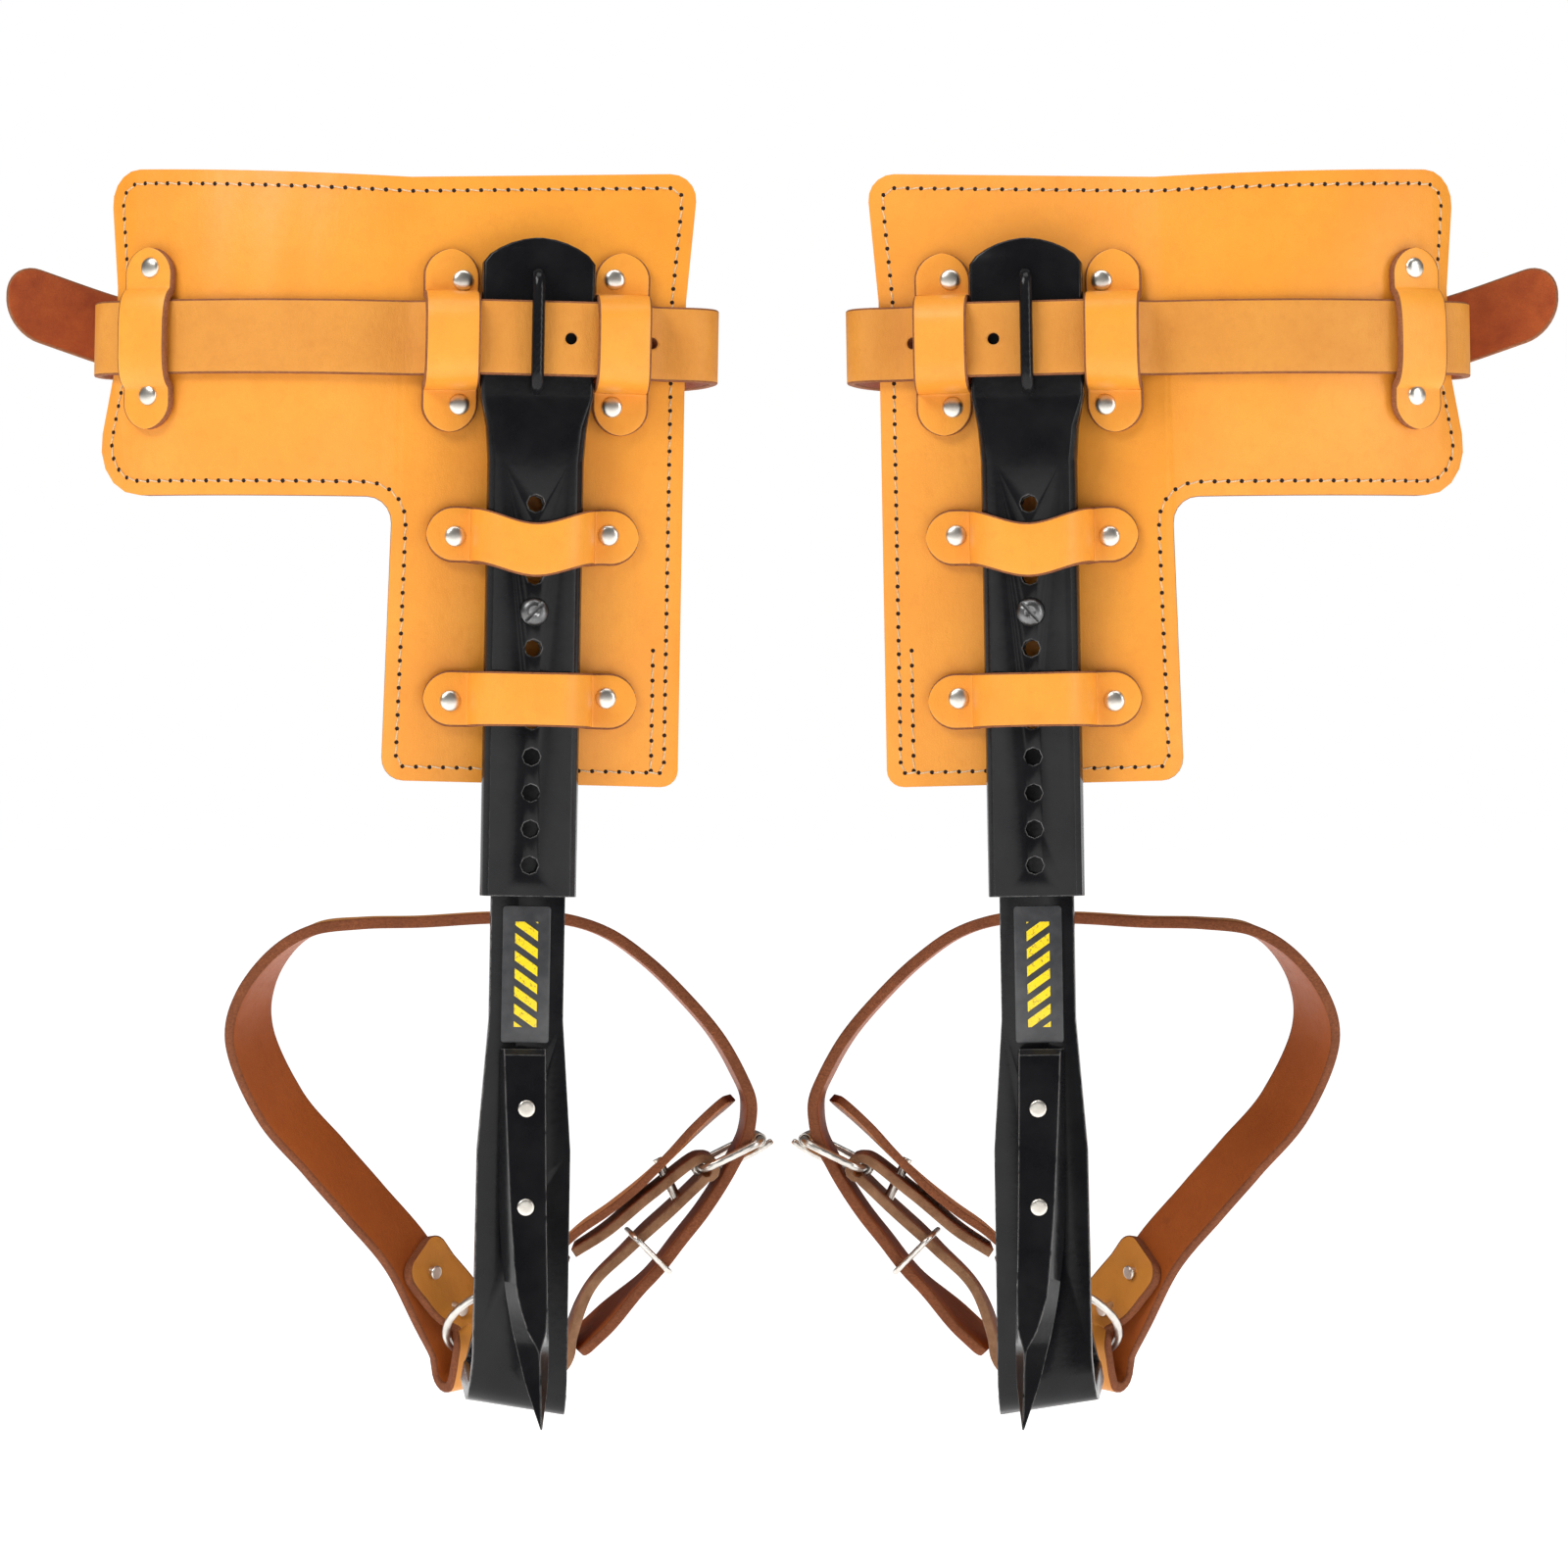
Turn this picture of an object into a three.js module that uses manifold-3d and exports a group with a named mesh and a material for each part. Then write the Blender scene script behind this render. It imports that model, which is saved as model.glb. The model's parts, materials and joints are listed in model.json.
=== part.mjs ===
// A pair of tree climbing spurs, left and right, mirror images of each other.
// Millimetres. World frame: +Z up, +X across the pair, -Y the side with the gaffs, +Y the boot side.
// Every piece is drawn in the spur's own frame: u across (towards the other spur), v back, w up,
// with the origin on the shank's centre line at the level of the foot plate's top.
import * as THREE from "three";
import { mergeVertices } from "three/addons/utils/BufferGeometryUtils.js";
import Module from "manifold-3d";

const wasm = await Module();
wasm.setup();

// ---- driving dimensions -------------------------------------------------------------------
const GAP = 0.3; // between pieces that touch
const SPACING = 92.7; // from the middle of the pair to each shank's centre line
const YAW = THREE.MathUtils.degToRad(6); // each spur's face turns towards the middle
const LEAN = THREE.MathUtils.degToRad(1.02); // each spur leans towards the middle

const BAR_THICK = 6.35; // shank and foot plate stock
const SHANK_HALF = 13; // half width in the sleeve
const SHANK_TOP = 296;
const BEND_TILT = THREE.MathUtils.degToRad(8.5); // the stirrup bend drops towards the middle
const BEND_RADIUS = 8; // at mid thickness
const EAR_DEPTH = 101.2; // mid thickness of the upturned ear
const RIVET_HEIGHTS = [66.1, 100.3]; // gaff rivets
const RIVET_RADIUS = 3.4;

const SLEEVE_FOOT = 174.4;
const SLEEVE_SHOULDER = 345.5;
const SLEEVE_TOP = 406;
const SLEEVE_HALF = 16.9;
const SLEEVE_DEEP = 7; // half depth of the tube
const HEAD_HALF = 19.8;
const HEAD_DEEP = 4.5;
const CAVITY_TOP = 336;
const HOLE_PITCH = 12.7;
const HOLE_COUNT = 11;
const HOLE_FIRST = 185.4;
const HOLE_RADIUS = 3.1;
const SCREW_HOLE = 7; // which hole holds the adjusting screw, from the bottom
const SCREW_HEIGHT = HOLE_FIRST + SCREW_HOLE * HOLE_PITCH;
const SCREW_RADIUS = 2.7;
const SLIDE_UP = 3 * HOLE_PITCH;

const LEATHER = 3;
const PAD_FRONT = 11;
const WING_START = -48; // where the wing begins to curve back
const WING_RADIUS = 150;
const LOOP_WIDTH = 20;
const LOOP_ASIDE = 30.2; // the loops beside the sleeve, from its centre line
const LOOP_ON_WING = -140.5; // measured along the pad
const STRAP_WIDTH = 26.4;
const STRAP_HEIGHT = 370.5; // middle of the calf strap
const STRAP_HOLE_PITCH = 33.4;
const STAPLE_RADIUS = 2.3;

const EYE = new THREE.Vector3(-1.8, 105.2, 28); // where the ring passes through the foot plate's eye
const EYE_BORE = 4.3;
const EYE_WALL = 3.1;
const EYE_LONG = 10;
const RING_RADIUS = 22.5;
const RING_WIRE = 1.7;
const RING_ROLL = THREE.MathUtils.degToRad(16);
const RING_LEAN = THREE.MathUtils.degToRad(51.6);

const LOOP_ORIGIN = new THREE.Vector3(1.7, 137, 0); // foot strap's plane
const LOOP_LEAN = THREE.MathUtils.degToRad(16);
const FULL_TURN = THREE.MathUtils.degToRad(42); // of the strap's width on the side away from the buckle
const FOOT_WIDTH = 25;
const FOOT_THICK = 4;
const CHAPE_THICK = 3.4;
const FRONT_PART = 0.4; // how far back the chape reaches where it is narrow

// ---- small geometry tools -----------------------------------------------------------------
const at = (x, y, z = 0) => new THREE.Vector3(x, y, z);

function flipped(geometry) {
  const index = geometry.index.array;
  for (let i = 0; i < index.length; i += 3) {
    const first = index[i];
    index[i] = index[i + 1];
    index[i + 1] = first;
  }
  return geometry;
}

function signedVolume(geometry) {
  const p = geometry.attributes.position;
  const corner = [at(0, 0), at(0, 0), at(0, 0)];
  let sum = 0;
  for (let i = 0; i < geometry.index.count; i += 3) {
    corner.forEach((c, k) => c.fromBufferAttribute(p, geometry.index.getX(i + k)));
    sum += corner[0].dot(corner[1].clone().cross(corner[2]));
  }
  return sum;
}

// one closed mesh with shared corners and its faces pointing out
function closed(geometry) {
  geometry.deleteAttribute("normal");
  geometry.deleteAttribute("uv");
  const merged = mergeVertices(geometry, 1e-4);
  return signedVolume(merged) < 0 ? flipped(merged) : merged;
}

function meshOf(positions, index) {
  const geometry = new THREE.BufferGeometry();
  geometry.setAttribute("position", new THREE.Float32BufferAttribute(positions, 3));
  geometry.setIndex(index);
  return closed(geometry);
}

// joins a row of equal convex sections into a solid, with end caps or round to the start
function loft(sections, ringShaped = false) {
  const n = sections[0].length;
  const index = [];
  const spans = ringShaped ? sections.length : sections.length - 1;
  for (let i = 0; i < spans; i++) {
    const a = i * n;
    const b = ((i + 1) % sections.length) * n;
    for (let j = 0; j < n; j++) {
      const k = (j + 1) % n;
      index.push(a + j, a + k, b + k, a + j, b + k, b + j);
    }
  }
  const end = (sections.length - 1) * n;
  for (let j = 1; !ringShaped && j < n - 1; j++) {
    index.push(0, j + 1, j, end, end + j, end + j + 1);
  }
  return meshOf(sections.flat().flatMap((p) => [p.x, p.y, p.z]), index);
}

// a round wire along a curve
function wire(curve, radius, steps, sides = 8) {
  const frames = curve.computeFrenetFrames(steps, curve.closed === true);
  const sections = [];
  for (let i = 0; i < (curve.closed ? steps : steps + 1); i++) {
    const centre = curve.getPointAt(i / steps);
    sections.push(
      Array.from({ length: sides }, (_, j) => {
        const angle = (2 * Math.PI * j) / sides;
        return centre
          .clone()
          .addScaledVector(frames.normals[i], radius * Math.cos(angle))
          .addScaledVector(frames.binormals[i], radius * Math.sin(angle));
      }),
    );
  }
  return loft(sections, curve.closed === true);
}

const smoothPath = (points, loop = false) => new THREE.CatmullRomCurve3(points, loop, "centripetal");

// a turned solid on the line through `base` along `axis`; profile is [radius, height] pairs
function turned(profile, base, axis, sides = 16) {
  const lathe = new THREE.LatheGeometry(profile.map(([r, h]) => new THREE.Vector2(r, h)), sides);
  const turn = new THREE.Quaternion().setFromUnitVectors(at(0, 1, 0), axis.clone().normalize());
  lathe.applyQuaternion(turn);
  lathe.translate(base.x, base.y, base.z);
  return closed(lathe);
}

const rod = (radius, from, to, sides = 12) => {
  const axis = to.clone().sub(from);
  return turned([[0, 0], [radius, 0], [radius, axis.length()], [0, axis.length()]], from, axis, sides);
};

function block(width, depth, height, centre) {
  const box = new THREE.BoxGeometry(width, depth, height);
  box.translate(centre.x, centre.y, centre.z);
  return closed(box);
}

function toManifold(geometry) {
  return new wasm.Manifold(
    new wasm.Mesh({
      numProp: 3,
      vertProperties: new Float32Array(geometry.attributes.position.array),
      triVerts: new Uint32Array(geometry.index.array),
    }),
  );
}

function fromManifold(solid) {
  const mesh = solid.getMesh();
  return meshOf(Array.from(mesh.vertProperties), Array.from(mesh.triVerts));
}

function cut(body, ...tools) {
  return fromManifold(tools.reduce((left, tool) => left.subtract(toManifold(tool)), toManifold(body)));
}

// corners are [x, y, radius]; each is replaced by an arc of that radius
function rounded(corners, steps = 4) {
  const outline = [];
  corners.forEach(([x, y, radius], i) => {
    const here = new THREE.Vector2(x, y);
    const before = corners[(i + corners.length - 1) % corners.length];
    const after = corners[(i + 1) % corners.length];
    const back = new THREE.Vector2(before[0], before[1]).sub(here).normalize();
    const on = new THREE.Vector2(after[0], after[1]).sub(here).normalize();
    const half = Math.acos(THREE.MathUtils.clamp(back.dot(on), -1, 1)) / 2;
    if (radius === 0 || half > 1.5) {
      outline.push(here);
      return;
    }
    const centre = back.clone().add(on).normalize().multiplyScalar(radius / Math.sin(half)).add(here);
    const start = back.clone().multiplyScalar(radius / Math.tan(half)).add(here).sub(centre);
    const end = on.clone().multiplyScalar(radius / Math.tan(half)).add(here).sub(centre);
    const sweep = Math.atan2(start.cross(end), start.dot(end));
    for (let k = 0; k <= steps; k++) {
      outline.push(start.clone().rotateAround(new THREE.Vector2(), (sweep * k) / steps).add(centre));
    }
  });
  return outline;
}

const stadium = (from, to, half, steps = 6) =>
  rounded([[from, -half, half], [to, -half, half], [to, half, half], [from, half, half]], steps);

function disc(x, y, radius, sides = 8) {
  return Array.from({ length: sides }, (_, i) => {
    const angle = (2 * Math.PI * (i + 0.5)) / sides;
    return new THREE.Vector2(x + radius * Math.cos(angle), y + radius * Math.sin(angle));
  });
}

// the part of an outline on one side of the line x = limit
function clip(outline, limit, keepAbove) {
  const inside = (p) => (keepAbove ? p.x >= limit : p.x <= limit);
  const result = [];
  outline.forEach((p, i) => {
    const q = outline[(i + 1) % outline.length];
    if (inside(p)) result.push(p);
    if (inside(p) !== inside(q)) result.push(p.clone().lerp(q, (limit - p.x) / (q.x - p.x)));
  });
  return result;
}

const distinct = (outline) =>
  outline.filter((p, i) => p.distanceTo(outline[(i + 1) % outline.length]) > 1e-4);

// A sheet of even thickness. Its flat outline is cut along lines of constant x, so that
// place(x, y, d) can bend it; d runs through the thickness.
function bentSheet({ outline, holes = [], cuts = [], thickness, place }) {
  const crossed = (x) => holes.some((h) => h.some((p) => p.x >= x) && h.some((p) => p.x <= x));
  const lines = [-1e6, ...cuts.filter((x) => !crossed(x)), 1e6];
  const flat = [];
  for (let i = 0; i + 1 < lines.length; i++) {
    const contour = distinct(clip(clip(outline, lines[i], true), lines[i + 1], false));
    const inner = holes.filter((h) => h[0].x > lines[i] && h[0].x < lines[i + 1]);
    const corners = [...contour, ...inner.flat()];
    if (contour.length < 3) continue;
    for (const face of THREE.ShapeUtils.triangulateShape(contour, inner)) {
      const [a, b, c] = face.map((k) => corners[k]);
      const area = b.clone().sub(a).cross(c.clone().sub(a));
      if (Math.abs(area) > 1e-9) flat.push(area > 0 ? [a, b, c] : [a, c, b]);
    }
  }
  const key = (p) => `${p.x.toFixed(4)},${p.y.toFixed(4)}`;
  const edges = new Set(flat.flatMap((t) => t.map((p, i) => `${key(p)}|${key(t[(i + 1) % 3])}`)));
  const positions = [];
  const put = (p, d) => positions.push(...place(p.x, p.y, d).toArray());
  const h = thickness / 2;
  for (const t of flat) {
    t.forEach((p) => put(p, h));
    [t[2], t[1], t[0]].forEach((p) => put(p, -h));
    t.forEach((p, i) => {
      const q = t[(i + 1) % 3];
      if (edges.has(`${key(q)}|${key(p)}`)) return;
      [[p, -h], [q, -h], [q, h], [p, -h], [q, h], [p, h]].forEach(([r, d]) => put(r, d));
    });
  }
  return meshOf(positions, Array.from({ length: positions.length / 3 }, (_, i) => i));
}

const span = (from, to, step) => {
  const count = Math.max(1, Math.round(Math.abs(to - from) / step));
  return Array.from({ length: count + 1 }, (_, i) => from + ((to - from) * i) / count);
};

// a flat strap along a path; each station holds its middle, its width direction and its normal
function strapAlong(stations, width, thickness) {
  const section = ({ p, across, normal }) =>
    [[-1, -1], [1, -1], [1, 1], [-1, 1]].map(([a, b]) =>
      p.clone().addScaledVector(across, (a * width) / 2).addScaledVector(normal, (b * thickness) / 2),
    );
  return loft(stations.map(section));
}

// ---- sleeve, its strap bar and its adjusting screw ------------------------------------------
function sleeveSection(w, half, deep, corner) {
  return rounded(
    [[-half, -deep, corner], [half, -deep, corner], [half, deep, corner], [-half, deep, corner]],
    3,
  ).map((p) => at(p.x, p.y, w));
}

function sleeve() {
  const rows = [
    [SLEEVE_FOOT, SLEEVE_HALF, SLEEVE_DEEP, 5],
    [SLEEVE_SHOULDER - 18, SLEEVE_HALF, SLEEVE_DEEP, 5],
    [SLEEVE_SHOULDER - 6, SLEEVE_HALF + 0.8, SLEEVE_DEEP, 4],
    [SLEEVE_SHOULDER + 2, HEAD_HALF - 0.6, HEAD_DEEP, 2],
    [SLEEVE_SHOULDER + 5, HEAD_HALF, HEAD_DEEP, 1.5],
  ];
  const domeRadius = 28.5;
  const domeRise = 9;
  for (const drop of [domeRise, 6, 3.6, 1.8, 0.6, 0.05]) {
    const half = Math.sqrt(domeRadius ** 2 - (domeRadius - drop) ** 2);
    rows.push([SLEEVE_TOP - drop, Math.min(half, HEAD_HALF), HEAD_DEEP, Math.min(1.5, half / 2)]);
  }
  const body = loft(rows.map((row) => sleeveSection(...row)));
  const cavityFront = -4.6; // leaves room for the label
  const cavityBack = BAR_THICK / 2 + 0.4;
  const cavity = block(
    2 * SHANK_HALF + 0.8,
    cavityBack - cavityFront,
    CAVITY_TOP - SLEEVE_FOOT + 10,
    at(0, (cavityFront + cavityBack) / 2, (CAVITY_TOP + SLEEVE_FOOT - 10) / 2),
  );
  const holes = Array.from({ length: HOLE_COUNT }, (_, i) => {
    const w = HOLE_FIRST + i * HOLE_PITCH;
    return rod(HOLE_RADIUS, at(0, -20, w), at(0, 20, w), 8);
  });
  return cut(body, cavity, ...holes);
}

function strapBar() {
  const standing = -HEAD_DEEP - LEATHER - 2 * GAP - STAPLE_RADIUS - 0.4;
  const root = -HEAD_DEEP - GAP;
  const reach = 20.3; // half the distance between the legs
  const bend = 4;
  const arc = (side) =>
    [0, 22.5, 45, 67.5, 90].map((degrees) => {
      const angle = THREE.MathUtils.degToRad(degrees);
      const v = standing + bend * (1 - Math.sin(angle));
      return at(0, v, side * (reach - bend * (1 - Math.cos(angle))));
    });
  const upper = arc(1);
  const lower = arc(-1).reverse();
  const points = [at(0, root, reach), ...upper, ...lower, at(0, root, -reach)];
  const centre = at(-0.5, 0, 372.8);
  return wire(smoothPath(points.map((p) => p.add(centre))), STAPLE_RADIUS, 18, 8);
}

function adjustScrew() {
  const head = 5.2;
  const rise = 2.6;
  const face = SLEEVE_DEEP + GAP;
  const tail = 11.2;
  const profile = [
    [0, 0.7],
    [1.4, 0.7],
    [2.1, 0],
    [3.6, 0.35],
    [head - 0.4, 1.4],
    [head, rise],
    [SCREW_RADIUS, rise],
    [SCREW_RADIUS, rise + face + tail - 0.6],
    [0, rise + face + tail - 0.6],
  ];
  const base = at(0, -face - rise, SCREW_HEIGHT);
  const screw = turned(profile, base, at(0, 1, 0), 16);
  const slot = block(1.1, 1.6, 9, at(0, 0, 0));
  slot.rotateY(THREE.MathUtils.degToRad(42));
  slot.translate(base.x, base.y + 0.5, base.z);
  return cut(screw, closed(slot));
}

function adjustNut() {
  const face = SLEEVE_DEEP + GAP;
  const nut = rod(5, at(0, face, SCREW_HEIGHT), at(0, face + 3.1, SCREW_HEIGHT), 6);
  return cut(nut, rod(SCREW_RADIUS + GAP, at(0, 0, SCREW_HEIGHT), at(0, 20, SCREW_HEIGHT), 12));
}

// ---- shank, foot plate, eye and gaff --------------------------------------------------------
// The bar is one flat blank: x runs up it square to the stirrup bend, y runs along the bend.
function onBlank(x, y, d) {
  const along = at(Math.cos(BEND_TILT), 0, -Math.sin(BEND_TILT));
  const up = at(Math.sin(BEND_TILT), 0, Math.cos(BEND_TILT));
  const back = at(0, 1, 0);
  const plateLevel = -BAR_THICK / 2;
  const firstStart = plateLevel + BEND_RADIUS;
  const quarter = (Math.PI / 2) * BEND_RADIUS;
  const plateRun = EAR_DEPTH - 2 * BEND_RADIUS;
  let height = x;
  let depth = 0;
  let turn = 0;
  if (x < firstStart) {
    turn = Math.min((firstStart - x) / BEND_RADIUS, Math.PI / 2);
    height = firstStart - BEND_RADIUS * Math.sin(turn);
    depth = BEND_RADIUS * (1 - Math.cos(turn));
  }
  const past = firstStart - quarter - x; // distance along the foot plate
  if (past > 0) depth = BEND_RADIUS + Math.min(past, plateRun);
  if (past > plateRun) {
    const rise = Math.min((past - plateRun) / BEND_RADIUS, Math.PI / 2);
    turn += rise;
    depth += BEND_RADIUS * Math.sin(rise);
    height = plateLevel + BEND_RADIUS * (1 - Math.cos(rise));
  }
  if (past > plateRun + quarter) height += past - plateRun - quarter;
  const face = back.clone().multiplyScalar(Math.cos(turn)).addScaledVector(up, Math.sin(turn));
  return at(0, 0, 0)
    .addScaledVector(up, height)
    .addScaledVector(along, y)
    .addScaledVector(back, depth)
    .addScaledVector(face, d);
}

function shankOutline() {
  const forkHalf = 3.4;
  const forkFoot = SCREW_HEIGHT - SLIDE_UP - forkHalf;
  const upright = [
    [-16.6, 12],
    [-16.4, 85],
    [-SHANK_HALF, 131],
    [-SHANK_HALF, SHANK_TOP],
    [-forkHalf, SHANK_TOP],
    [-forkHalf, forkFoot],
    [forkHalf, forkFoot],
    [forkHalf, SHANK_TOP],
    [SHANK_HALF, SHANK_TOP],
    [SHANK_HALF, 131],
    [16.4, 85],
    [16.6, 12],
  ].map(([u, w]) => [
    w * Math.cos(BEND_TILT) + u * Math.sin(BEND_TILT),
    u * Math.cos(BEND_TILT) - w * Math.sin(BEND_TILT),
  ]);
  const blank = (x, y) => new THREE.Vector2(x, y);
  const earTop = -130.5;
  return [
    ...upright.map(([x, y]) => blank(x, y)),
    blank(-4, 17.4),
    blank(-10, 17.6),
    blank(-88, 13),
    blank(-105, 9),
    blank(earTop, -0.6),
    blank(earTop, -11.2),
    blank(-105, -13),
    blank(-88, -15),
    blank(-10, -17.6),
    blank(-4, -17.4),
  ];
}

function shank() {
  const bend = BEND_RADIUS - BAR_THICK / 2;
  const firstStart = bend;
  const quarter = (Math.PI / 2) * BEND_RADIUS;
  const secondStart = firstStart - quarter - (EAR_DEPTH - 2 * BEND_RADIUS);
  const cuts = [
    ...span(secondStart - quarter, secondStart, quarter / 5),
    ...span(firstStart - quarter, firstStart, quarter / 5),
  ];
  const bar = bentSheet({ outline: shankOutline(), cuts, thickness: BAR_THICK, place: onBlank });
  const across = at(1, 0, 0);
  const start = EYE.clone().addScaledVector(across, -EYE_LONG / 2);
  const end = EYE.clone().addScaledVector(across, EYE_LONG / 2);
  const eye = toManifold(rod(EYE_BORE + EYE_WALL, start, end, 20));
  const whole = fromManifold(toManifold(bar).add(eye));
  const bore = rod(
    EYE_BORE,
    EYE.clone().addScaledVector(across, -20),
    EYE.clone().addScaledVector(across, 20),
    16,
  );
  const rivetHoles = RIVET_HEIGHTS.map((w) => rod(RIVET_RADIUS + GAP, at(0, -20, w), at(0, 20, w), 12));
  return cut(whole, bore, ...rivetHoles);
}

// rows run from the riveted top to the point: [w, front left, front right, back left, back right,
// front v, back v]
function gaff() {
  const seat = -BAR_THICK / 2 - GAP;
  const rows = [
    [121, -8, 6.6, -9, 7.2, -9, seat],
    [119, -8, 6.6, -9.3, 7.3, -11.5, seat],
    [100, -7.2, 6.8, -9.2, 7.7, -14, seat],
    [66, -5.4, 7.3, -8.8, 8.2, -18.5, seat],
    [50, -4.2, 7.5, -7.8, 8.3, -22.5, -6],
    [36, -2.9, 7.6, -6.4, 8.4, -28, -13],
    [24, 0.6, 7, -4.4, 8.4, -33.5, -21],
    [17, 4.2, 5, -2.8, 8.2, -36.6, -26],
    [6, 4.6, 5, -0.2, 7.6, -41, -34],
    [-8.8, 4.9, 5.2, 4.7, 5.4, -46.2, -45.4],
  ];
  const body = loft(
    rows.map(([w, fl, fr, bl, br, front, back]) => [
      at(fl, front, w),
      at(fr, front, w),
      at(br, (front + 2 * back) / 3, w),
      at(br - 0.3, back, w),
      at(bl + 0.3, back, w),
      at(bl, (front + 2 * back) / 3, w),
    ]),
  );
  return cut(body, ...RIVET_HEIGHTS.map((w) => rod(RIVET_RADIUS + GAP, at(0, -40, w), at(0, 9, w), 12)));
}

function gaffRivet(w, front) {
  const back = BAR_THICK / 2 + 1.2;
  const bevel = 0.5;
  const long = back - front;
  const profile = [
    [0, 0],
    [RIVET_RADIUS - bevel, 0],
    [RIVET_RADIUS, bevel],
    [RIVET_RADIUS, long - bevel],
    [RIVET_RADIUS - bevel, long],
    [0, long],
  ];
  return turned(profile, at(0, front, w), at(0, 1, 0), 12);
}

function label() {
  const front = -BAR_THICK / 2 - GAP - 0.6;
  const outline = rounded([[123, -8.4, 1], [171, -8.4, 1], [171, 8.4, 1], [123, 8.4, 1]], 2);
  return bentSheet({ outline, thickness: 0.6, place: (w, u, d) => at(u - 0.4, front + 0.3 + d, w) });
}

// ---- leather pad and its loops --------------------------------------------------------------
// a point on the pad: x is measured along the leather, d is the distance behind its front face
function onPad(x, w, d) {
  if (x >= WING_START) return at(x, PAD_FRONT + d, w);
  const angle = (WING_START - x) / WING_RADIUS;
  const radius = WING_RADIUS - d;
  return at(WING_START - radius * Math.sin(angle), PAD_FRONT + WING_RADIUS - radius * Math.cos(angle), w);
}

const PAD_CORNERS = [
  [-161, 431, 12],
  [-45, 427.6, 0],
  [57, 431.5, 9],
  [53.2, 386, 30],
  [53.2, 213.6, 6],
  [-52, 214.4, 8],
  [-49.6, 314.6, 9],
  [-168, 314.4, 18],
  [-157.8, 358, 22],
  [-156.6, 388, 22],
];

function padLayer(depth) {
  return bentSheet({
    outline: rounded(PAD_CORNERS, 5),
    cuts: span(-150, WING_START, 9),
    thickness: LEATHER,
    place: (x, w, d) => onPad(x, w, depth + LEATHER / 2 + d),
  });
}

const ease = (t) => {
  const s = THREE.MathUtils.clamp(t, 0, 1);
  return s * s * (3 - 2 * s);
};

const BAND_REST = PAD_FRONT - GAP - LEATHER / 2; // a band's middle where it lies on the pad
const STRAP_OVER = -HEAD_DEEP - GAP - LEATHER / 2; // the strap's middle where it crosses the sleeve

// middle of the calf strap's front run, left of the wing's bend it follows the pad instead
function strapDepth(u) {
  return STRAP_OVER + (BAND_REST - STRAP_OVER) * ease((Math.abs(u) - 20.5) / 26);
}

// middle of a loop where it lies over the strap: straight, and clear of the strap's rise
const overStrap = (u) => STRAP_OVER - LEATHER - 4 * GAP + 0.24 * (Math.abs(u) - HEAD_HALF);

// vertical loop over the strap, centred at u; lift(u) is the middle of the band where it stands proud
function verticalLoop(centre, lift, place = (u, v, w) => at(u, v, w)) {
  const middle = STRAP_HEIGHT - 0.5;
  const long = 32.3;
  const height = (w) => 1 - ease((Math.abs(w - STRAP_HEIGHT) - STRAP_WIDTH / 2 - 1.2) / 5);
  const steep = STRAP_WIDTH / 2;
  const cuts = [...span(middle - steep - 8, middle - steep, 1.6), ...span(middle + steep, middle + steep + 8, 1.6)];
  return bentSheet({
    outline: stadium(middle - long, middle + long, LOOP_WIDTH / 2),
    cuts,
    thickness: LEATHER,
    place: (w, u, d) => {
      const v = (x) => BAND_REST + (lift(u) - BAND_REST) * height(x);
      const slope = (v(w + 0.05) - v(w - 0.05)) / 0.1;
      const tilt = Math.hypot(1, slope);
      return place(centre + u, v(w) + d / tilt, w - (d * slope) / tilt);
    },
  });
}

const wingLoop = () =>
  verticalLoop(LOOP_ON_WING, () => BAND_REST - LEATHER - 2 * GAP, (x, v, w) => onPad(x, w, v - PAD_FRONT - GAP));

// horizontal loop round the sleeve's tube; bow drops its middle
function horizontalLoop(w0, half, bow) {
  const over = -SLEEVE_DEEP - GAP - LEATHER / 2;
  const flatFrom = SLEEVE_HALF + 8;
  const height = (u) => 1 - ease((Math.abs(u) - SLEEVE_HALF - 1.6) / 5.5);
  const v = (u) => BAND_REST + (over - BAND_REST) * height(u);
  const drop = (u) => bow * ease(1 - Math.abs(u) / flatFrom);
  return bentSheet({
    outline: stadium(-half, half, LOOP_WIDTH / 2),
    cuts: [
      ...span(-flatFrom, -SLEEVE_HALF - 0.8, 1.6),
      ...span(-SLEEVE_HALF + 4, SLEEVE_HALF - 4, 7),
      ...span(SLEEVE_HALF + 0.8, flatFrom, 1.6),
    ],
    thickness: LEATHER,
    place: (u, c, d) => {
      const slope = (v(u + 0.05) - v(u - 0.05)) / 0.1;
      const tilt = Math.hypot(1, slope);
      return at(u - (d * slope) / tilt, v(u) + d / tilt, w0 + c - drop(u));
    },
  });
}

// ---- calf strap and buckle ------------------------------------------------------------------
const BUCKLE_BAR = at(-118, 80, STRAP_HEIGHT);
const BUCKLE_TILT = THREE.MathUtils.degToRad(20);

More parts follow.
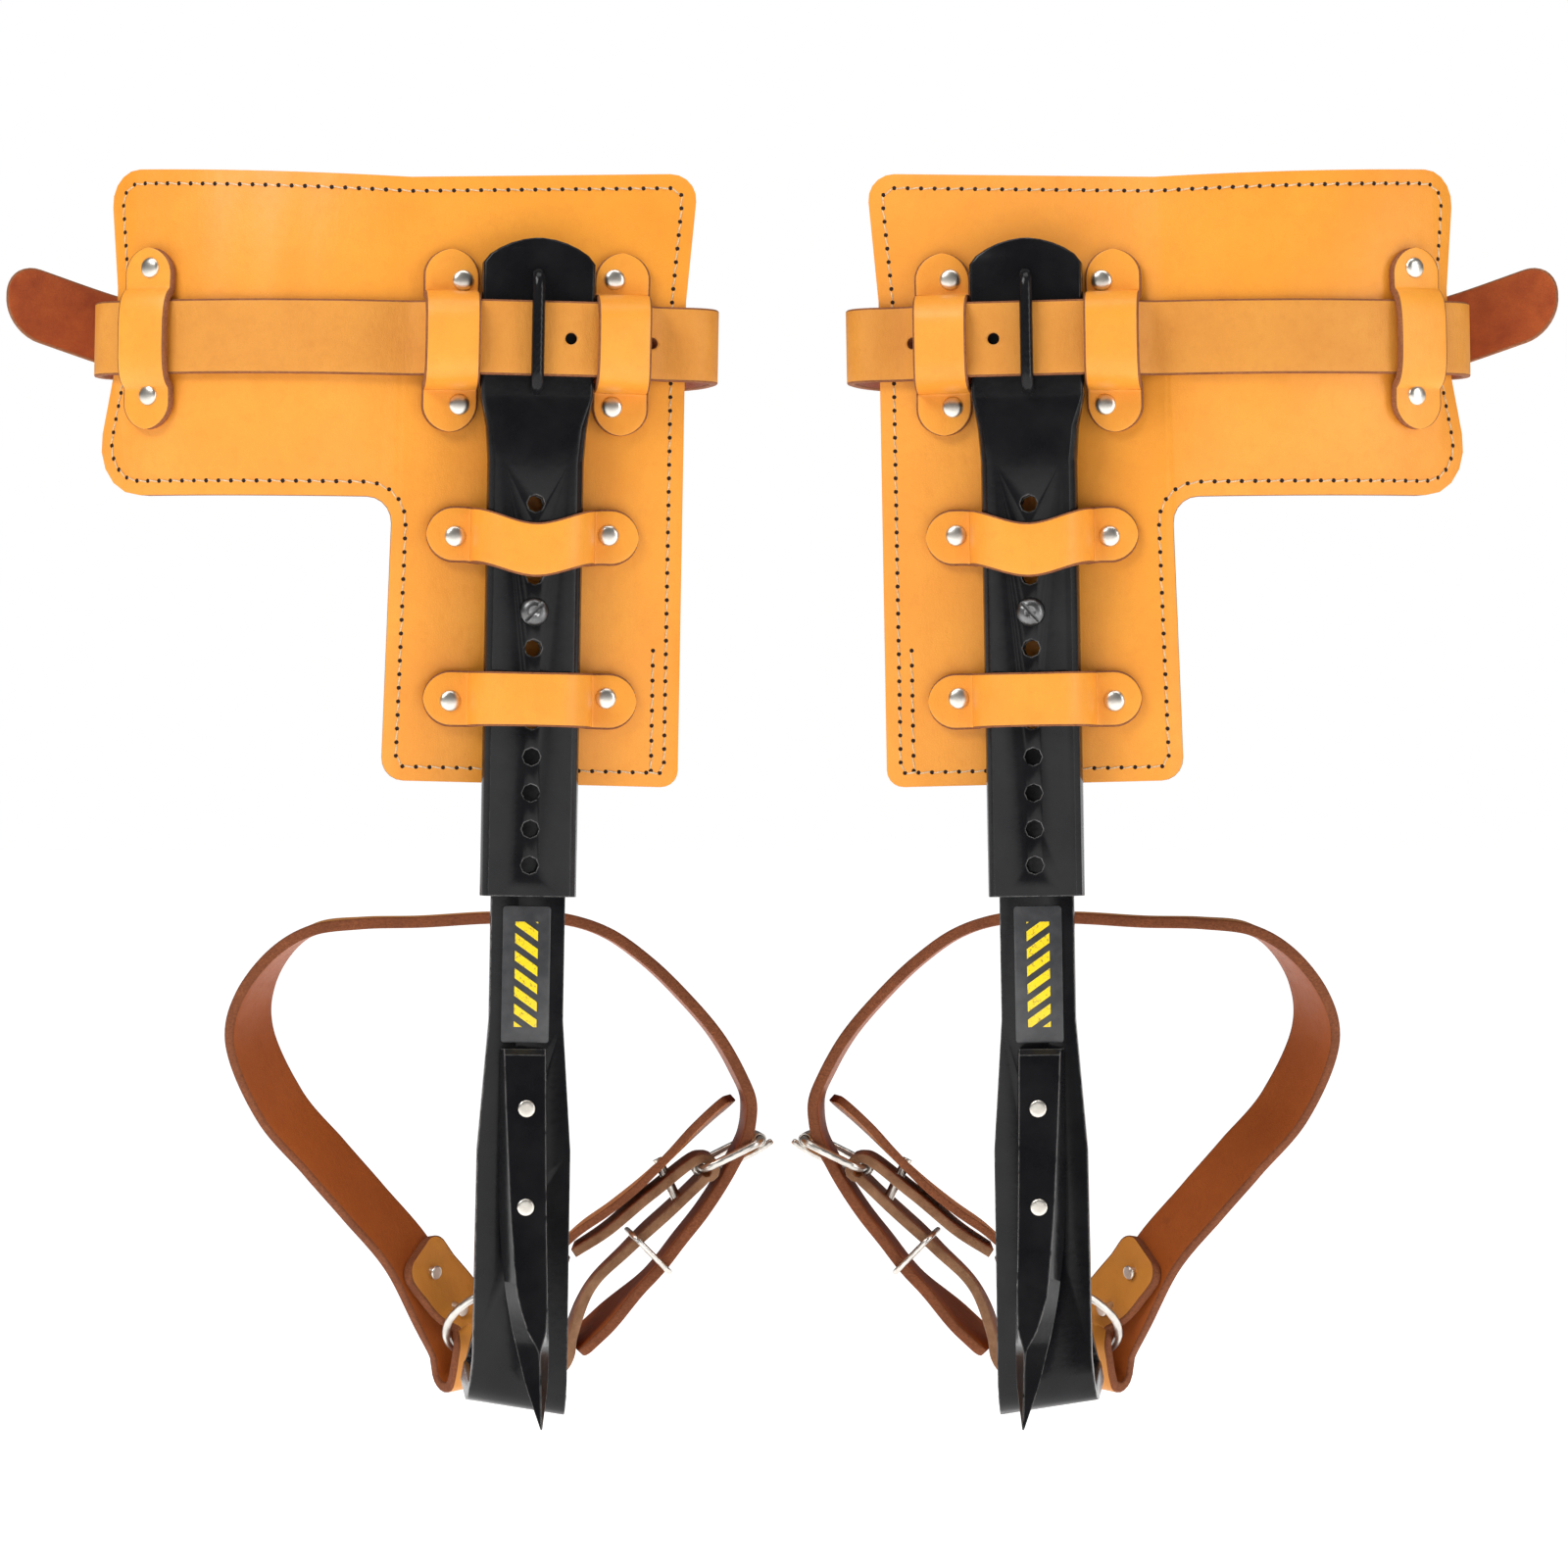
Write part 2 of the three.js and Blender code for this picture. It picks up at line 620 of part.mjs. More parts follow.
function calfPath() {
  const proud = GAP + LEATHER / 2;
  const wrap = 1.75 + GAP + LEATHER / 2;
  const bar = BUCKLE_BAR;
  const folded = span(90, -90, 30).map((degrees) => {
    const angle = THREE.MathUtils.degToRad(degrees);
    return at(bar.x + wrap * Math.cos(angle), bar.y + wrap * Math.sin(angle));
  });
  const onWing = span(-151, WING_START, 12).map((x) => onPad(x, 0, -proud));
  const front = span(-44, 56, 4).map((u) => at(u, strapDepth(u)));
  return smoothPath([
    at(-143, 80.4),
    at(-130, 82.6),
    ...folded,
    at(-130, 76.4),
    at(-141, 75.8),
    at(-150, 71.5),
    at(-153.4, 64.5),
    at(-153.6, 57),
    at(-151.2, 49.4),
    ...onWing,
    ...front,
    at(61.5, 12),
    at(64, 18),
    at(64, 30),
    at(60, 50),
    at(44, 78),
    at(10, 99),
    at(-30, 104),
    at(-70, 95),
    at(-97, 83.2),
    at(-108, 85.4),
    at(-118, 87.4),
    at(-132, 86.6),
    at(-146, 84.4),
    at(-168, 79),
    at(-187, 73.2),
  ]);
}

function calfStrap() {
  const path = calfPath();
  const long = path.getLength();
  const firstHole = nearest(path, at(11.3, STRAP_OVER)) * long;
  const atProng = nearest(path, at(-109.5, 85.8)) * long;
  const tip = long;
  const holes = [];
  for (let s = firstHole; s < tip - 16; s += STRAP_HOLE_PITCH) {
    if (Math.abs(s - atProng) > 14) holes.push(disc(s, 0, 2.1, 6));
  }
  holes.push(stadium(atProng - 5.4, atProng + 5.4, 2, 2));
  const bar = nearest(path, at(BUCKLE_BAR.x + 3.55, BUCKLE_BAR.y)) * long;
  holes.push(stadium(bar - 13, bar + 13, 3, 2));
  const corner = STRAP_WIDTH / 2;
  const outline = rounded([[0, -corner, 3], [tip, -corner, 12], [tip, corner, 12], [0, corner, 3]], 5);
  const lift = (s) => 20 * ease((s - (long - 72)) / 100); // the free end curls up
  return bentSheet({
    outline,
    holes,
    cuts: [...span(6, 66, 3.8), ...span(76, long - 14, 9)],
    thickness: LEATHER,
    place: (s, c, d) => {
      const t = THREE.MathUtils.clamp(s / long, 0, 1);
      const p = path.getPointAt(t);
      const along = path.getTangentAt(t);
      return at(p.x - along.y * d, p.y + along.x * d, STRAP_HEIGHT + c + lift(s));
    },
  });
}

// how far along a curve, from 0 to 1, its nearest point to a target lies
function nearest(curve, target) {
  let best = 0;
  for (let i = 0; i <= 2000; i++) {
    const t = i / 2000;
    if (curve.getPointAt(t).distanceTo(target) < curve.getPointAt(best).distanceTo(target)) best = t;
  }
  return best;
}

// A buckle in its own frame: the bar lies on the z axis and the far side is at x = reach.
// y points away from the wearer.
function buckleFrame({ reach, half, radius }) {
  const corner = 4;
  const corners = rounded(
    [[0, -half, corner], [reach, -half, corner], [reach, half, corner], [0, half, corner]],
    4,
  ).map((p) => at(p.x, 0, p.y));
  return wire(smoothPath(corners, true), radius, 28, 6);
}

// the prong's eye circles the bar and its point rests on the far side
function buckleProng({ reach, barRadius, farRadius, radius }) {
  const eye = barRadius + GAP + radius;
  const points = span(-60, -330, 30).map((degrees) => {
    const angle = THREE.MathUtils.degToRad(degrees);
    return at(eye * Math.cos(angle), eye * Math.sin(angle), 0);
  });
  const rest = farRadius + GAP + radius;
  points.push(at(eye + 3, rest * 0.85, 0));
  points.push(at(reach * 0.6, rest, 0));
  points.push(at(reach, rest, 0));
  points.push(at(reach + 4.5, rest - 0.8, 0));
  return wire(smoothPath(points), radius, 18, 6);
}

// puts a piece drawn in a buckle's frame where its bar is, turned by `angle` about the bar
function seat(geometry, origin, x, y) {
  const basis = new THREE.Matrix4().makeBasis(x, y, x.clone().cross(y));
  geometry.applyMatrix4(basis);
  geometry.translate(origin.x, origin.y, origin.z);
  return closed(geometry);
}

function calfBuckle(piece) {
  const x = at(Math.cos(BUCKLE_TILT), Math.sin(BUCKLE_TILT), 0);
  const y = at(-Math.sin(BUCKLE_TILT), Math.cos(BUCKLE_TILT), 0);
  return seat(piece, BUCKLE_BAR, x, y);
}

const CALF_BUCKLE = { reach: 22, half: 17.5, radius: 1.75 };
const CALF_PRONG = { reach: 22, barRadius: 1.75, farRadius: 1.75, radius: 1.3 };

// ---- ring and foot strap --------------------------------------------------------------------
const RING_ALONG = at(Math.cos(RING_ROLL), 0, Math.sin(RING_ROLL));
const RING_UP = at(-Math.sin(RING_ROLL), 0, Math.cos(RING_ROLL))
  .multiplyScalar(Math.cos(RING_LEAN))
  .add(at(0, -Math.sin(RING_LEAN), 0));
const RING_CENTRE = EYE.clone().addScaledVector(RING_UP, -RING_RADIUS);

function footRing() {
  const ring = new THREE.TorusGeometry(RING_RADIUS, RING_WIRE, 6, 26);
  ring.applyMatrix4(new THREE.Matrix4().makeBasis(RING_ALONG, RING_UP, RING_ALONG.clone().cross(RING_UP)));
  ring.translate(RING_CENTRE.x, RING_CENTRE.y, RING_CENTRE.z);
  return closed(ring);
}

// the foot strap's plane: x across, y up and slightly forward, z back through the strap's width
const LOOP_UP = at(0, -Math.sin(LOOP_LEAN), Math.cos(LOOP_LEAN));
const LOOP_BACK = at(0, Math.cos(LOOP_LEAN), Math.sin(LOOP_LEAN));
const inLoop = (x, y, z = 0) =>
  LOOP_ORIGIN.clone().add(at(x, 0, 0)).addScaledVector(LOOP_UP, y).addScaledVector(LOOP_BACK, z);

// A strap whose middle runs through points [x, y, z, angle]: the angle turns its width from
// straight back towards +x, in degrees. Near the ring, and where it is turned, a strap's width is
// square to the loop's plane; elsewhere it is level.
function loopStations(points, count) {
  const path = smoothPath(points.map(([x, y, z]) => at(x, y, z)));
  const angles = smoothPath(points.map(([, , , angle], i) => at(i, angle)));
  return Array.from({ length: count + 1 }, (_, i) => {
    const t = i / count;
    const p = path.getPoint(t);
    const along = path.getTangent(t);
    const turn = THREE.MathUtils.degToRad(angles.getPoint(t).y);
    const level = LOOP_LEAN * ease((p.y - 14) / 18) * (1 - ease(turn / FULL_TURN));
    const across = at(Math.sin(turn), -Math.sin(level) * Math.cos(turn), Math.cos(level) * Math.cos(turn));
    across.addScaledVector(along, -across.dot(along)).normalize();
    return {
      p: inLoop(p.x, p.y, p.z),
      across: loopVector(across),
      normal: loopVector(along.cross(across).normalize()),
    };
  });
}

const loopVector = (q) => at(q.x, 0, 0).addScaledVector(LOOP_UP, q.y).addScaledVector(LOOP_BACK, q.z);

// the foot buckle: its bar is at FOOT_BAR and its roller at FOOT_ROLLER
const FOOT_BAR = [72, 76.1];
const FOOT_ROLLER = [92.8, 87.2];
const BAR_AT = inLoop(...FOOT_BAR);
const BUCKLE_X = at(FOOT_ROLLER[0] - FOOT_BAR[0], 0, (FOOT_ROLLER[1] - FOOT_BAR[1]) * Math.cos(LOOP_LEAN));
const FOOT_REACH = BUCKLE_X.length();
BUCKLE_X.normalize();
const BUCKLE_Y = at(BUCKLE_X.z, 0, -BUCKLE_X.x);
const LEVEL = at(0, 1, 0);
const FOOT_BUCKLE = { reach: FOOT_REACH, half: 17.5, radius: 1.5 };
const ROLLER_RADIUS = 2.6;
const FOOT_PRONG = { reach: FOOT_REACH, barRadius: 1.5, farRadius: ROLLER_RADIUS, radius: 1.2 };

// from a point, `out` away from the ankle and `on` towards the roller
const beside = (point, out, on = 0) =>
  point.clone().addScaledVector(BUCKLE_Y, out).addScaledVector(BUCKLE_X, on);

const FOOT_STRAP_PATH = [
  [-32.2, 42, -1.6, 42],
  [-24.9, 31, 0, 44],
  [-16.4, 21, 0.6, 50],
  [-8.5, 15, -2.2, 54],
  [-7, 9, -7, 58],
  [-7.6, 3, -8.5, 60],
  [-8.4, -2.6, -8.5, 60],
  [-9.3, -7, -6.9, 60],
  [-11.5, -8.8, -3.1, 60],
  [-13.7, -7, 0.7, 60],
  [-14.6, -2.6, 2.3, 60],
  [-16.1, 4, 2.7, 58],
  [-23.8, 18, 1, 50],
  [-36.9, 41.2, 0, 42],
  [-53, 60.5, 0, 42],
  [-68, 77.9, 0, 42],
  [-84.7, 97.9, 0, 42],
  [-96.7, 126.2, 0, 38],
  [-94.4, 142.9, 0, 30],
  [-84.7, 158.4, 0, 20],
  [-73.5, 166.1, 0, 12],
  [-56.4, 168.7, 0, 5],
  [-34.9, 169.6, 0, 0],
  [-8, 171.6, 0, 0],
  [17.8, 171.4, 0, 0],
  [33, 166.6, 0, 0],
  [48, 156.2, 0, 0],
  [62.3, 142.6, 0, 0],
  [75.3, 127.5, 0, 0],
  [83.9, 113.2, 0, 0],
  [88, 103.6, 0, 0],
  [88.6, 96, 0, 0],
  [87.4, 88, 0, 0],
  [83.5, 78.5, 0, 0],
  [78.6, 68.6, 0, 0],
  [72.5, 58.2, 0, 0],
  [65, 47.4, 0, 0],
  [56.8, 35.6, 0, 0],
  [44, 21, 0, 0],
  [28.8, 5, 0, 0],
];

const FOOT_RIVETS = [
  { x: -30, y: 34.5, angle: 43, reach: 7 },
  { x: -20.9, y: 21, angle: 50, reach: 9.6 },
];

// the rivet's line runs through both layers of the folded strap
function footRivetLine({ x, y, angle }) {
  const turn = THREE.MathUtils.degToRad(angle);
  return { middle: inLoop(x, y, 0.2), axis: loopVector(at(Math.cos(turn), 0, -Math.sin(turn))) };
}

function footRivet(index) {
  const { middle, axis } = footRivetLine(FOOT_RIVETS[index]);
  const { reach } = FOOT_RIVETS[index];
  const long = 2 * reach;
  const profile = [[0, 0], [1.8, 0], [1.8, long - 0.9], [2.9, long - 0.9], [2.6, long], [0, long]];
  return turned(profile, middle.clone().addScaledVector(axis, -reach), axis, 12);
}

function footStrap() {
  const strap = strapAlong(loopStations(FOOT_STRAP_PATH, 60), FOOT_WIDTH, FOOT_THICK);
  const rivetHoles = FOOT_RIVETS.map((rivet) => {
    const { middle, axis } = footRivetLine(rivet);
    return rod(
      1.8 + GAP,
      middle.clone().addScaledVector(axis, -14),
      middle.clone().addScaledVector(axis, 14),
      8,
    );
  });
  const prongLine = ROLLER_RADIUS + GAP + FOOT_PRONG.radius;
  const from = beside(BAR_AT, prongLine, 4);
  const to = beside(BAR_AT, prongLine, FOOT_REACH - 2);
  const prongHole = rod(2.1, from, to, 8);
  return cut(strap, ...rivetHoles, prongHole);
}

// The chape: one band folded round the buckle's bar and round the ring, its ends meeting on the
// ankle side. It narrows towards the ring, where it lies to the front.
function footChape() {
  const wrap = FOOT_BUCKLE.radius + GAP + CHAPE_THICK / 2 + 0.15;
  const bar = (degrees) => {
    const angle = THREE.MathUtils.degToRad(degrees);
    const out = wrap * Math.cos(angle);
    const on = wrap * Math.sin(angle);
    const up = (BUCKLE_Y.z * out + BUCKLE_X.z * on) / Math.cos(LOOP_LEAN);
    return [FOOT_BAR[0] + BUCKLE_Y.x * out + BUCKLE_X.x * on, FOOT_BAR[1] + up];
  };
  const points = [
    [26.5, 43.2],
    [38.6, 51.8],
    [54, 66.2],
    bar(180),
    bar(135),
    bar(90),
    bar(45),
    bar(0),
    [57.4, 55.8],
    [45.6, 43.8],
    [34.8, 32.8],
    [28.8, 22],
    [25.6, 12],
    [25, 5],
    [22.6, 0],
    [18.6, -1.8],
    [14.6, 0],
    [12.4, 5],
    [12.4, 14],
    [12.3, 22],
    [14.6, 29.4],
    [19.4, 36.2],
    [23.2, 40],
  ];
  const stations = loopStations(points.map(([x, y]) => [x, y, 0, 0]), 44);
  const sections = stations.map(({ p, across, normal }) => {
    const y = p.clone().sub(LOOP_ORIGIN).dot(LOOP_UP);
    const full = ease((y - 32) / 20);
    const back = FRONT_PART + (FOOT_WIDTH / 2 - FRONT_PART) * full;
    const half = CHAPE_THICK / 2;
    return [[-12.2, -half], [back, -half], [back, half], [-12.2, half]].map(([z, d]) =>
      p.clone().addScaledVector(across, z).addScaledVector(normal, d),
    );
  });
  const slot = rod(7.4, BAR_AT.clone().addScaledVector(LEVEL, -2), BAR_AT.clone().addScaledVector(LEVEL, 2), 16);
  const [from, to] = chapeRivetEnds(GAP, 3);
  return cut(loft(sections), slot, rod(2 + GAP, from, to, 8));
}

// the rivet that ties the chape's two layers and the guard together, square to the chape
function chapeRivetEnds(headroom, extra = 0) {
  const middle = inLoop(61.5, 67);
  return [beside(middle, -12.6 - extra), beside(middle, 5.4 + headroom + extra)];
}

function chapeRivet() {
  const [from, to] = chapeRivetEnds(0);
  return rod(2, from, to, 10);
}

function buckleGuard() {
  const points = [
    [19, 47.5, 0, 8],
    [28, 56, 0, 8],
    [38.5, 63.5, 0, 8],
    [50, 73, 0, 8],
    [65, 87, 0, 8],
    [80.5, 102, 0, 8],
  ];
  const guard = strapAlong(loopStations(points, 10), 34, LEATHER);
  const [from, to] = chapeRivetEnds(GAP, 3);
  return cut(guard, rod(2 + GAP, from, to, 8));
}

function footBuckle(piece) {
  return seat(piece, BAR_AT, BUCKLE_X, BUCKLE_Y);
}

function footRoller() {
  const half = 11;
  const inner = FOOT_BUCKLE.radius + GAP;
  const profile = [[inner, -half], [ROLLER_RADIUS, -half], [ROLLER_RADIUS, half], [inner, half], [inner, -half]];
  return turned(profile, beside(BAR_AT, 0, FOOT_REACH), LEVEL, 14);
}

// the keeper passes between the chape's layers and round the strap's free end
function keeperLoop() {
  const out = at(0.7, -0.714).normalize();
  const inner = [46.3, 49.9];
  const tall = 20.8;
  const half = 15.4;
  const corners = rounded([[0, -half, 3], [tall, -half, 3], [tall, half, 3], [0, half, 3]], 3);
  const points = corners.map((p) =>
    inLoop(inner[0] + out.x * p.x, inner[1] + out.y * p.x).addScaledVector(LEVEL, p.y),
  );
  return wire(smoothPath(points, true), 1, 28, 6);
}

// ---- assembly -------------------------------------------------------------------------------
const COLOURS = {
  steel: [0x121213, 0.32, 0.6],
  label: [0x2a2a2c, 0.6, 0],
  nickel: [0xcfcbc4, 0.28, 1],
  leather: [0xf2a33c, 0.55, 0],
  strap: [0xe8a046, 0.6, 0],
  foot: [0xb35a2a, 0.5, 0],
  chape: [0xb58a60, 0.85, 0],
};

const PIECES = {
  pad_outer: ["leather", () => padLayer(0)],
  pad_lining: ["leather", () => padLayer(LEATHER + GAP)],
  loop_wing: ["leather", wingLoop],
  loop_strap_left: ["leather", () => verticalLoop(-LOOP_ASIDE, (u) => overStrap(u - LOOP_ASIDE))],
  loop_strap_right: ["leather", () => verticalLoop(LOOP_ASIDE, (u) => overStrap(u + LOOP_ASIDE))],
  loop_sleeve_upper: ["leather", () => horizontalLoop(301.6, 37.6, 5.5)],
  loop_sleeve_lower: ["leather", () => horizontalLoop(243.6, 37.8, 0)],
  sleeve: ["steel", sleeve],
  strap_bar: ["steel", strapBar],
  adjust_screw: ["steel", adjustScrew],
  adjust_nut: ["nickel", adjustNut],
  shank: ["steel", shank],
  gaff: ["steel", gaff],
  gaff_rivet_lower: ["nickel", () => gaffRivet(RIVET_HEIGHTS[0], -19.3)],
  gaff_rivet_upper: ["nickel", () => gaffRivet(RIVET_HEIGHTS[1], -14.8)],
  label: ["label", label],
  calf_strap: ["strap", calfStrap],
  calf_buckle_frame: ["nickel", () => calfBuckle(buckleFrame(CALF_BUCKLE))],
  calf_buckle_prong: ["nickel", () => calfBuckle(buckleProng(CALF_PRONG))],
  foot_ring: ["nickel", footRing],
  foot_strap: ["foot", footStrap],
  foot_strap_rivet_upper: ["nickel", () => footRivet(0)],
  foot_strap_rivet_lower: ["nickel", () => footRivet(1)],
  foot_chape: ["chape", footChape],
  chape_rivet: ["nickel", chapeRivet],
  buckle_guard: ["strap", buckleGuard],
  foot_buckle_frame: ["nickel", () => footBuckle(buckleFrame(FOOT_BUCKLE))],
  foot_buckle_roller: ["nickel", footRoller],
  foot_buckle_prong: ["nickel", () => footBuckle(buckleProng(FOOT_PRONG))],
  keeper_loop: ["nickel", keeperLoop],
};

function mirrored(geometry) {
  const copy = geometry.clone();
  copy.scale(-1, 1, 1);
  return flipped(copy);
}

function spur(side, shapes) {
  const sign = side === "left" ? 1 : -1;
  const group = new THREE.Group();
  group.position.set(-sign * SPACING, 0, 0);
  group.rotation.set(0, sign * LEAN, sign * YAW, "ZYX");
  for (const [name, geometry] of Object.entries(shapes)) {
    const [color, roughness, metalness] = COLOURS[PIECES[name][0]];
    const material = new THREE.MeshStandardMaterial({ color, roughness, metalness });
    const mesh = new THREE.Mesh(sign > 0 ? geometry : mirrored(geometry), material);
    mesh.name = `${side}_${name}`;
    group.add(mesh);
  }
  return group;
}

const shapes = Object.fromEntries(Object.entries(PIECES).map(([name, [, make]]) => [name, make()]));
const pair = new THREE.Group();
pair.add(spur("left", shapes), spur("right", shapes));

export default pair;
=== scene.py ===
import bisect
import json
import math

import bmesh
import bpy
from mathutils import Matrix, Vector
from mathutils.bvhtree import BVHTree

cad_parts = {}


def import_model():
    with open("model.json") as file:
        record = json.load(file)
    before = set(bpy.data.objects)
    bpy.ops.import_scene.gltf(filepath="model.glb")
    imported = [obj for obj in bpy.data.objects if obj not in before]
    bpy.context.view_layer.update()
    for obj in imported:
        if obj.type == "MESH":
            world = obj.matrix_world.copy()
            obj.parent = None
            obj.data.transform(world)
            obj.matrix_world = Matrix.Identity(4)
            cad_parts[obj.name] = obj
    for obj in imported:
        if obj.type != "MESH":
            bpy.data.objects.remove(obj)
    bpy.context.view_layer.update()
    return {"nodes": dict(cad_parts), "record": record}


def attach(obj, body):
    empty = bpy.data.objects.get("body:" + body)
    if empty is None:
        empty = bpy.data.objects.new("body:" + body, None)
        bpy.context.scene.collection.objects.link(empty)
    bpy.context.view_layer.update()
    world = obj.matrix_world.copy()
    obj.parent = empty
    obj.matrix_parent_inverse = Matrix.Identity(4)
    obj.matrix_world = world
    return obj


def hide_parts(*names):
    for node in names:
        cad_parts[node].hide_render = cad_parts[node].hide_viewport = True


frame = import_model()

MM = 0.001
SIDES = ("left", "right")
BODY_OF = {n: b for b, ns in frame["record"]["behaviour"]["bodies"].items() for n in ns}

# ---- camera ---------------------------------------------------------------------------------
cam_data = bpy.data.cameras.new("camera")
cam = bpy.data.objects.new("camera", cam_data)
bpy.context.collection.objects.link(cam)
cam.location = (0.0006, -2.2, 0.2139)
cam.rotation_euler = (math.radians(90), 0, 0)
cam_data.sensor_width = 36
cam_data.lens = 143.5
cam_data.clip_end = 50
bpy.context.scene.camera = cam

# ---- the spur's own frame, as in the CAD model ------------------------------------------------
SPACING = 92.7
YAW = math.radians(6)
LEAN = math.radians(1.02)
TURN = Matrix.Rotation(YAW, 4, "Z") @ Matrix.Rotation(LEAN, 4, "Y")
FLIP = Matrix.Diagonal((-1, 1, 1, 1))


def world(side):
    """From the left spur's own frame in mm to the row frame in metres; the right is its mirror."""
    place = Matrix.Scale(MM, 4) @ Matrix.Translation((-SPACING, 0, 0)) @ TURN
    return place if side == "left" else FLIP @ place


# ---- materials --------------------------------------------------------------------------------
class Nodes:
    """A material being built, with short names for its nodes."""

    def __init__(self, name, rough=0.5, metallic=0.0, **sockets):
        self.mat = bpy.data.materials.new(name)
        self.mat.use_nodes = True
        self.tree = self.mat.node_tree
        self.bsdf = self.tree.nodes["Principled BSDF"]
        self.bsdf.inputs["Roughness"].default_value = rough
        self.bsdf.inputs["Metallic"].default_value = metallic
        for key, value in sockets.items():
            self.bsdf.inputs[key.replace("_", " ")].default_value = value
        self.coord = self.add("ShaderNodeTexCoord").outputs["Object"]

    def add(self, kind, links=(), **values):
        node = self.tree.nodes.new(kind)
        for key, value in values.items():
            if hasattr(node, key):
                setattr(node, key, value)
            else:
                node.inputs[key.replace("_", " ")].default_value = value
        for socket, source in dict(links).items():
            self.tree.links.new(source, node.inputs[socket])
        return node

    def noise(self, scale, detail=3.0, rough=0.55, stretch=None):
        source = self.coord
        if stretch:
            source = self.add("ShaderNodeMapping", {"Vector": source}, Scale=stretch).outputs[0]
        return self.add("ShaderNodeTexNoise", {"Vector": source}, Scale=scale, Detail=detail,
                        Roughness=rough).outputs[0]

    def cells(self, scale, feature="DISTANCE_TO_EDGE"):
        node = self.add("ShaderNodeTexVoronoi", {"Vector": self.coord}, feature=feature, Scale=scale)
        return node.outputs[0]

    def ramp(self, source, stops):
        node = self.add("ShaderNodeValToRGB", {"Fac": source})
        ramp = node.color_ramp
        while len(ramp.elements) < len(stops):
            ramp.elements.new(0.5)
        for element, (position, colour) in zip(ramp.elements, stops):
            element.position = position
            grey = (colour,) * 3 if isinstance(colour, (int, float)) else colour
            element.color = (*grey, 1)
        return node.outputs[0]

    def mix(self, factor, a, b, mode="MIX"):
        node = self.add("ShaderNodeMix", data_type="RGBA", blend_type=mode)
        for index, value in ((0, factor), (6, a), (7, b)):
            if isinstance(value, bpy.types.NodeSocket):
                self.tree.links.new(value, node.inputs[index])
            elif index == 0:
                node.inputs[0].default_value = value
            else:
                node.inputs[index].default_value = (*value, 1)
        return node.outputs[2]

    def math(self, operation, a, b=0.0):
        node = self.add("ShaderNodeMath", operation=operation)
        for index, value in enumerate((a, b)):
            if isinstance(value, bpy.types.NodeSocket):
                self.tree.links.new(value, node.inputs[index])
            else:
                node.inputs[index].default_value = value
        return node.outputs[0]

    def colour(self, source):
        self.tree.links.new(source, self.bsdf.inputs["Base Color"])

    def roughness(self, source, low, high):
        node = self.add("ShaderNodeMapRange", {"Value": source}, To_Min=low, To_Max=high)
        self.tree.links.new(node.outputs[0], self.bsdf.inputs["Roughness"])

    def bump(self, *layers):
        """layers are (height, distance in metres, strength)"""
        normal = None
        for height, distance, strength in layers:
            node = self.add("ShaderNodeBump", {"Height": height}, Distance=distance, Strength=strength)
            if normal:
                self.tree.links.new(normal, node.inputs["Normal"])
            normal = node.outputs[0]
        self.tree.links.new(normal, self.bsdf.inputs["Normal"])

    def edges(self, radius, low, high):
        """1 where the surface turns sharply within the radius"""
        bevel = self.add("ShaderNodeBevel", samples=6, Radius=radius)
        plain = self.add("ShaderNodeNewGeometry").outputs["Normal"]
        dot = self.add("ShaderNodeVectorMath", {0: bevel.outputs[0], 1: plain}, operation="DOT_PRODUCT")
        return self.add("ShaderNodeMapRange", {"Value": dot.outputs["Value"]}, From_Min=high, From_Max=low,
                        clamp=True).outputs[0]


def leather(name, light, dark, grain=1500, rough=0.42, depth=1.0, stain=None, shine=0.36):
    m = Nodes(name, rough=rough, Specular_IOR_Level=shine, Coat_Weight=0.05, Coat_Roughness=0.3)
    cloud = m.noise(28, 4, 0.6)
    fine = m.noise(240, 5, 0.65)
    tone = m.mix(m.ramp(cloud, ((0.35, 0), (0.75, 0.55))), light, dark)
    tone = m.mix(m.ramp(fine, ((0.5, 0), (0.75, 0.3))), tone, dark)
    if stain:
        tone = m.mix(m.ramp(m.noise(60, 6, 0.7), ((0.62, 0), (0.74, 0.55))), tone, stain)
    pores = m.cells(grain)
    pits = m.ramp(m.cells(grain * 0.35, "F1"), ((0.0, 0.0), (0.18, 1)))
    tone = m.mix(m.ramp(pores, ((0.0, 0.35), (0.09, 0))), tone, dark)
    m.colour(tone)
    m.roughness(fine, rough - 0.09, rough + 0.14)
    creases = m.noise(420, 5, 0.7, stretch=(1, 1, 0.35))
    m.bump((cloud, 0.0012 * depth, 0.25), (creases, 0.0003 * depth, 0.5), (pores, 0.00012 * depth, 0.5),
           (pits, 0.0001 * depth, 0.35))
    return m.mat


def cut_edge(name, light, dark):
    m = Nodes(name, rough=0.8, Specular_IOR_Level=0.25)
    fibres = m.noise(900, 4, 0.7, stretch=(1, 1, 1.8))
    tone = m.mix(m.ramp(fibres, ((0.3, 0), (0.7, 1))), light, dark)
    m.colour(m.mix(m.ramp(m.noise(70, 3), ((0.4, 0), (0.7, 0.6))), tone, dark))
    m.roughness(fibres, 0.6, 0.95)
    m.bump((fibres, 0.0004, 0.7))
    return m.mat


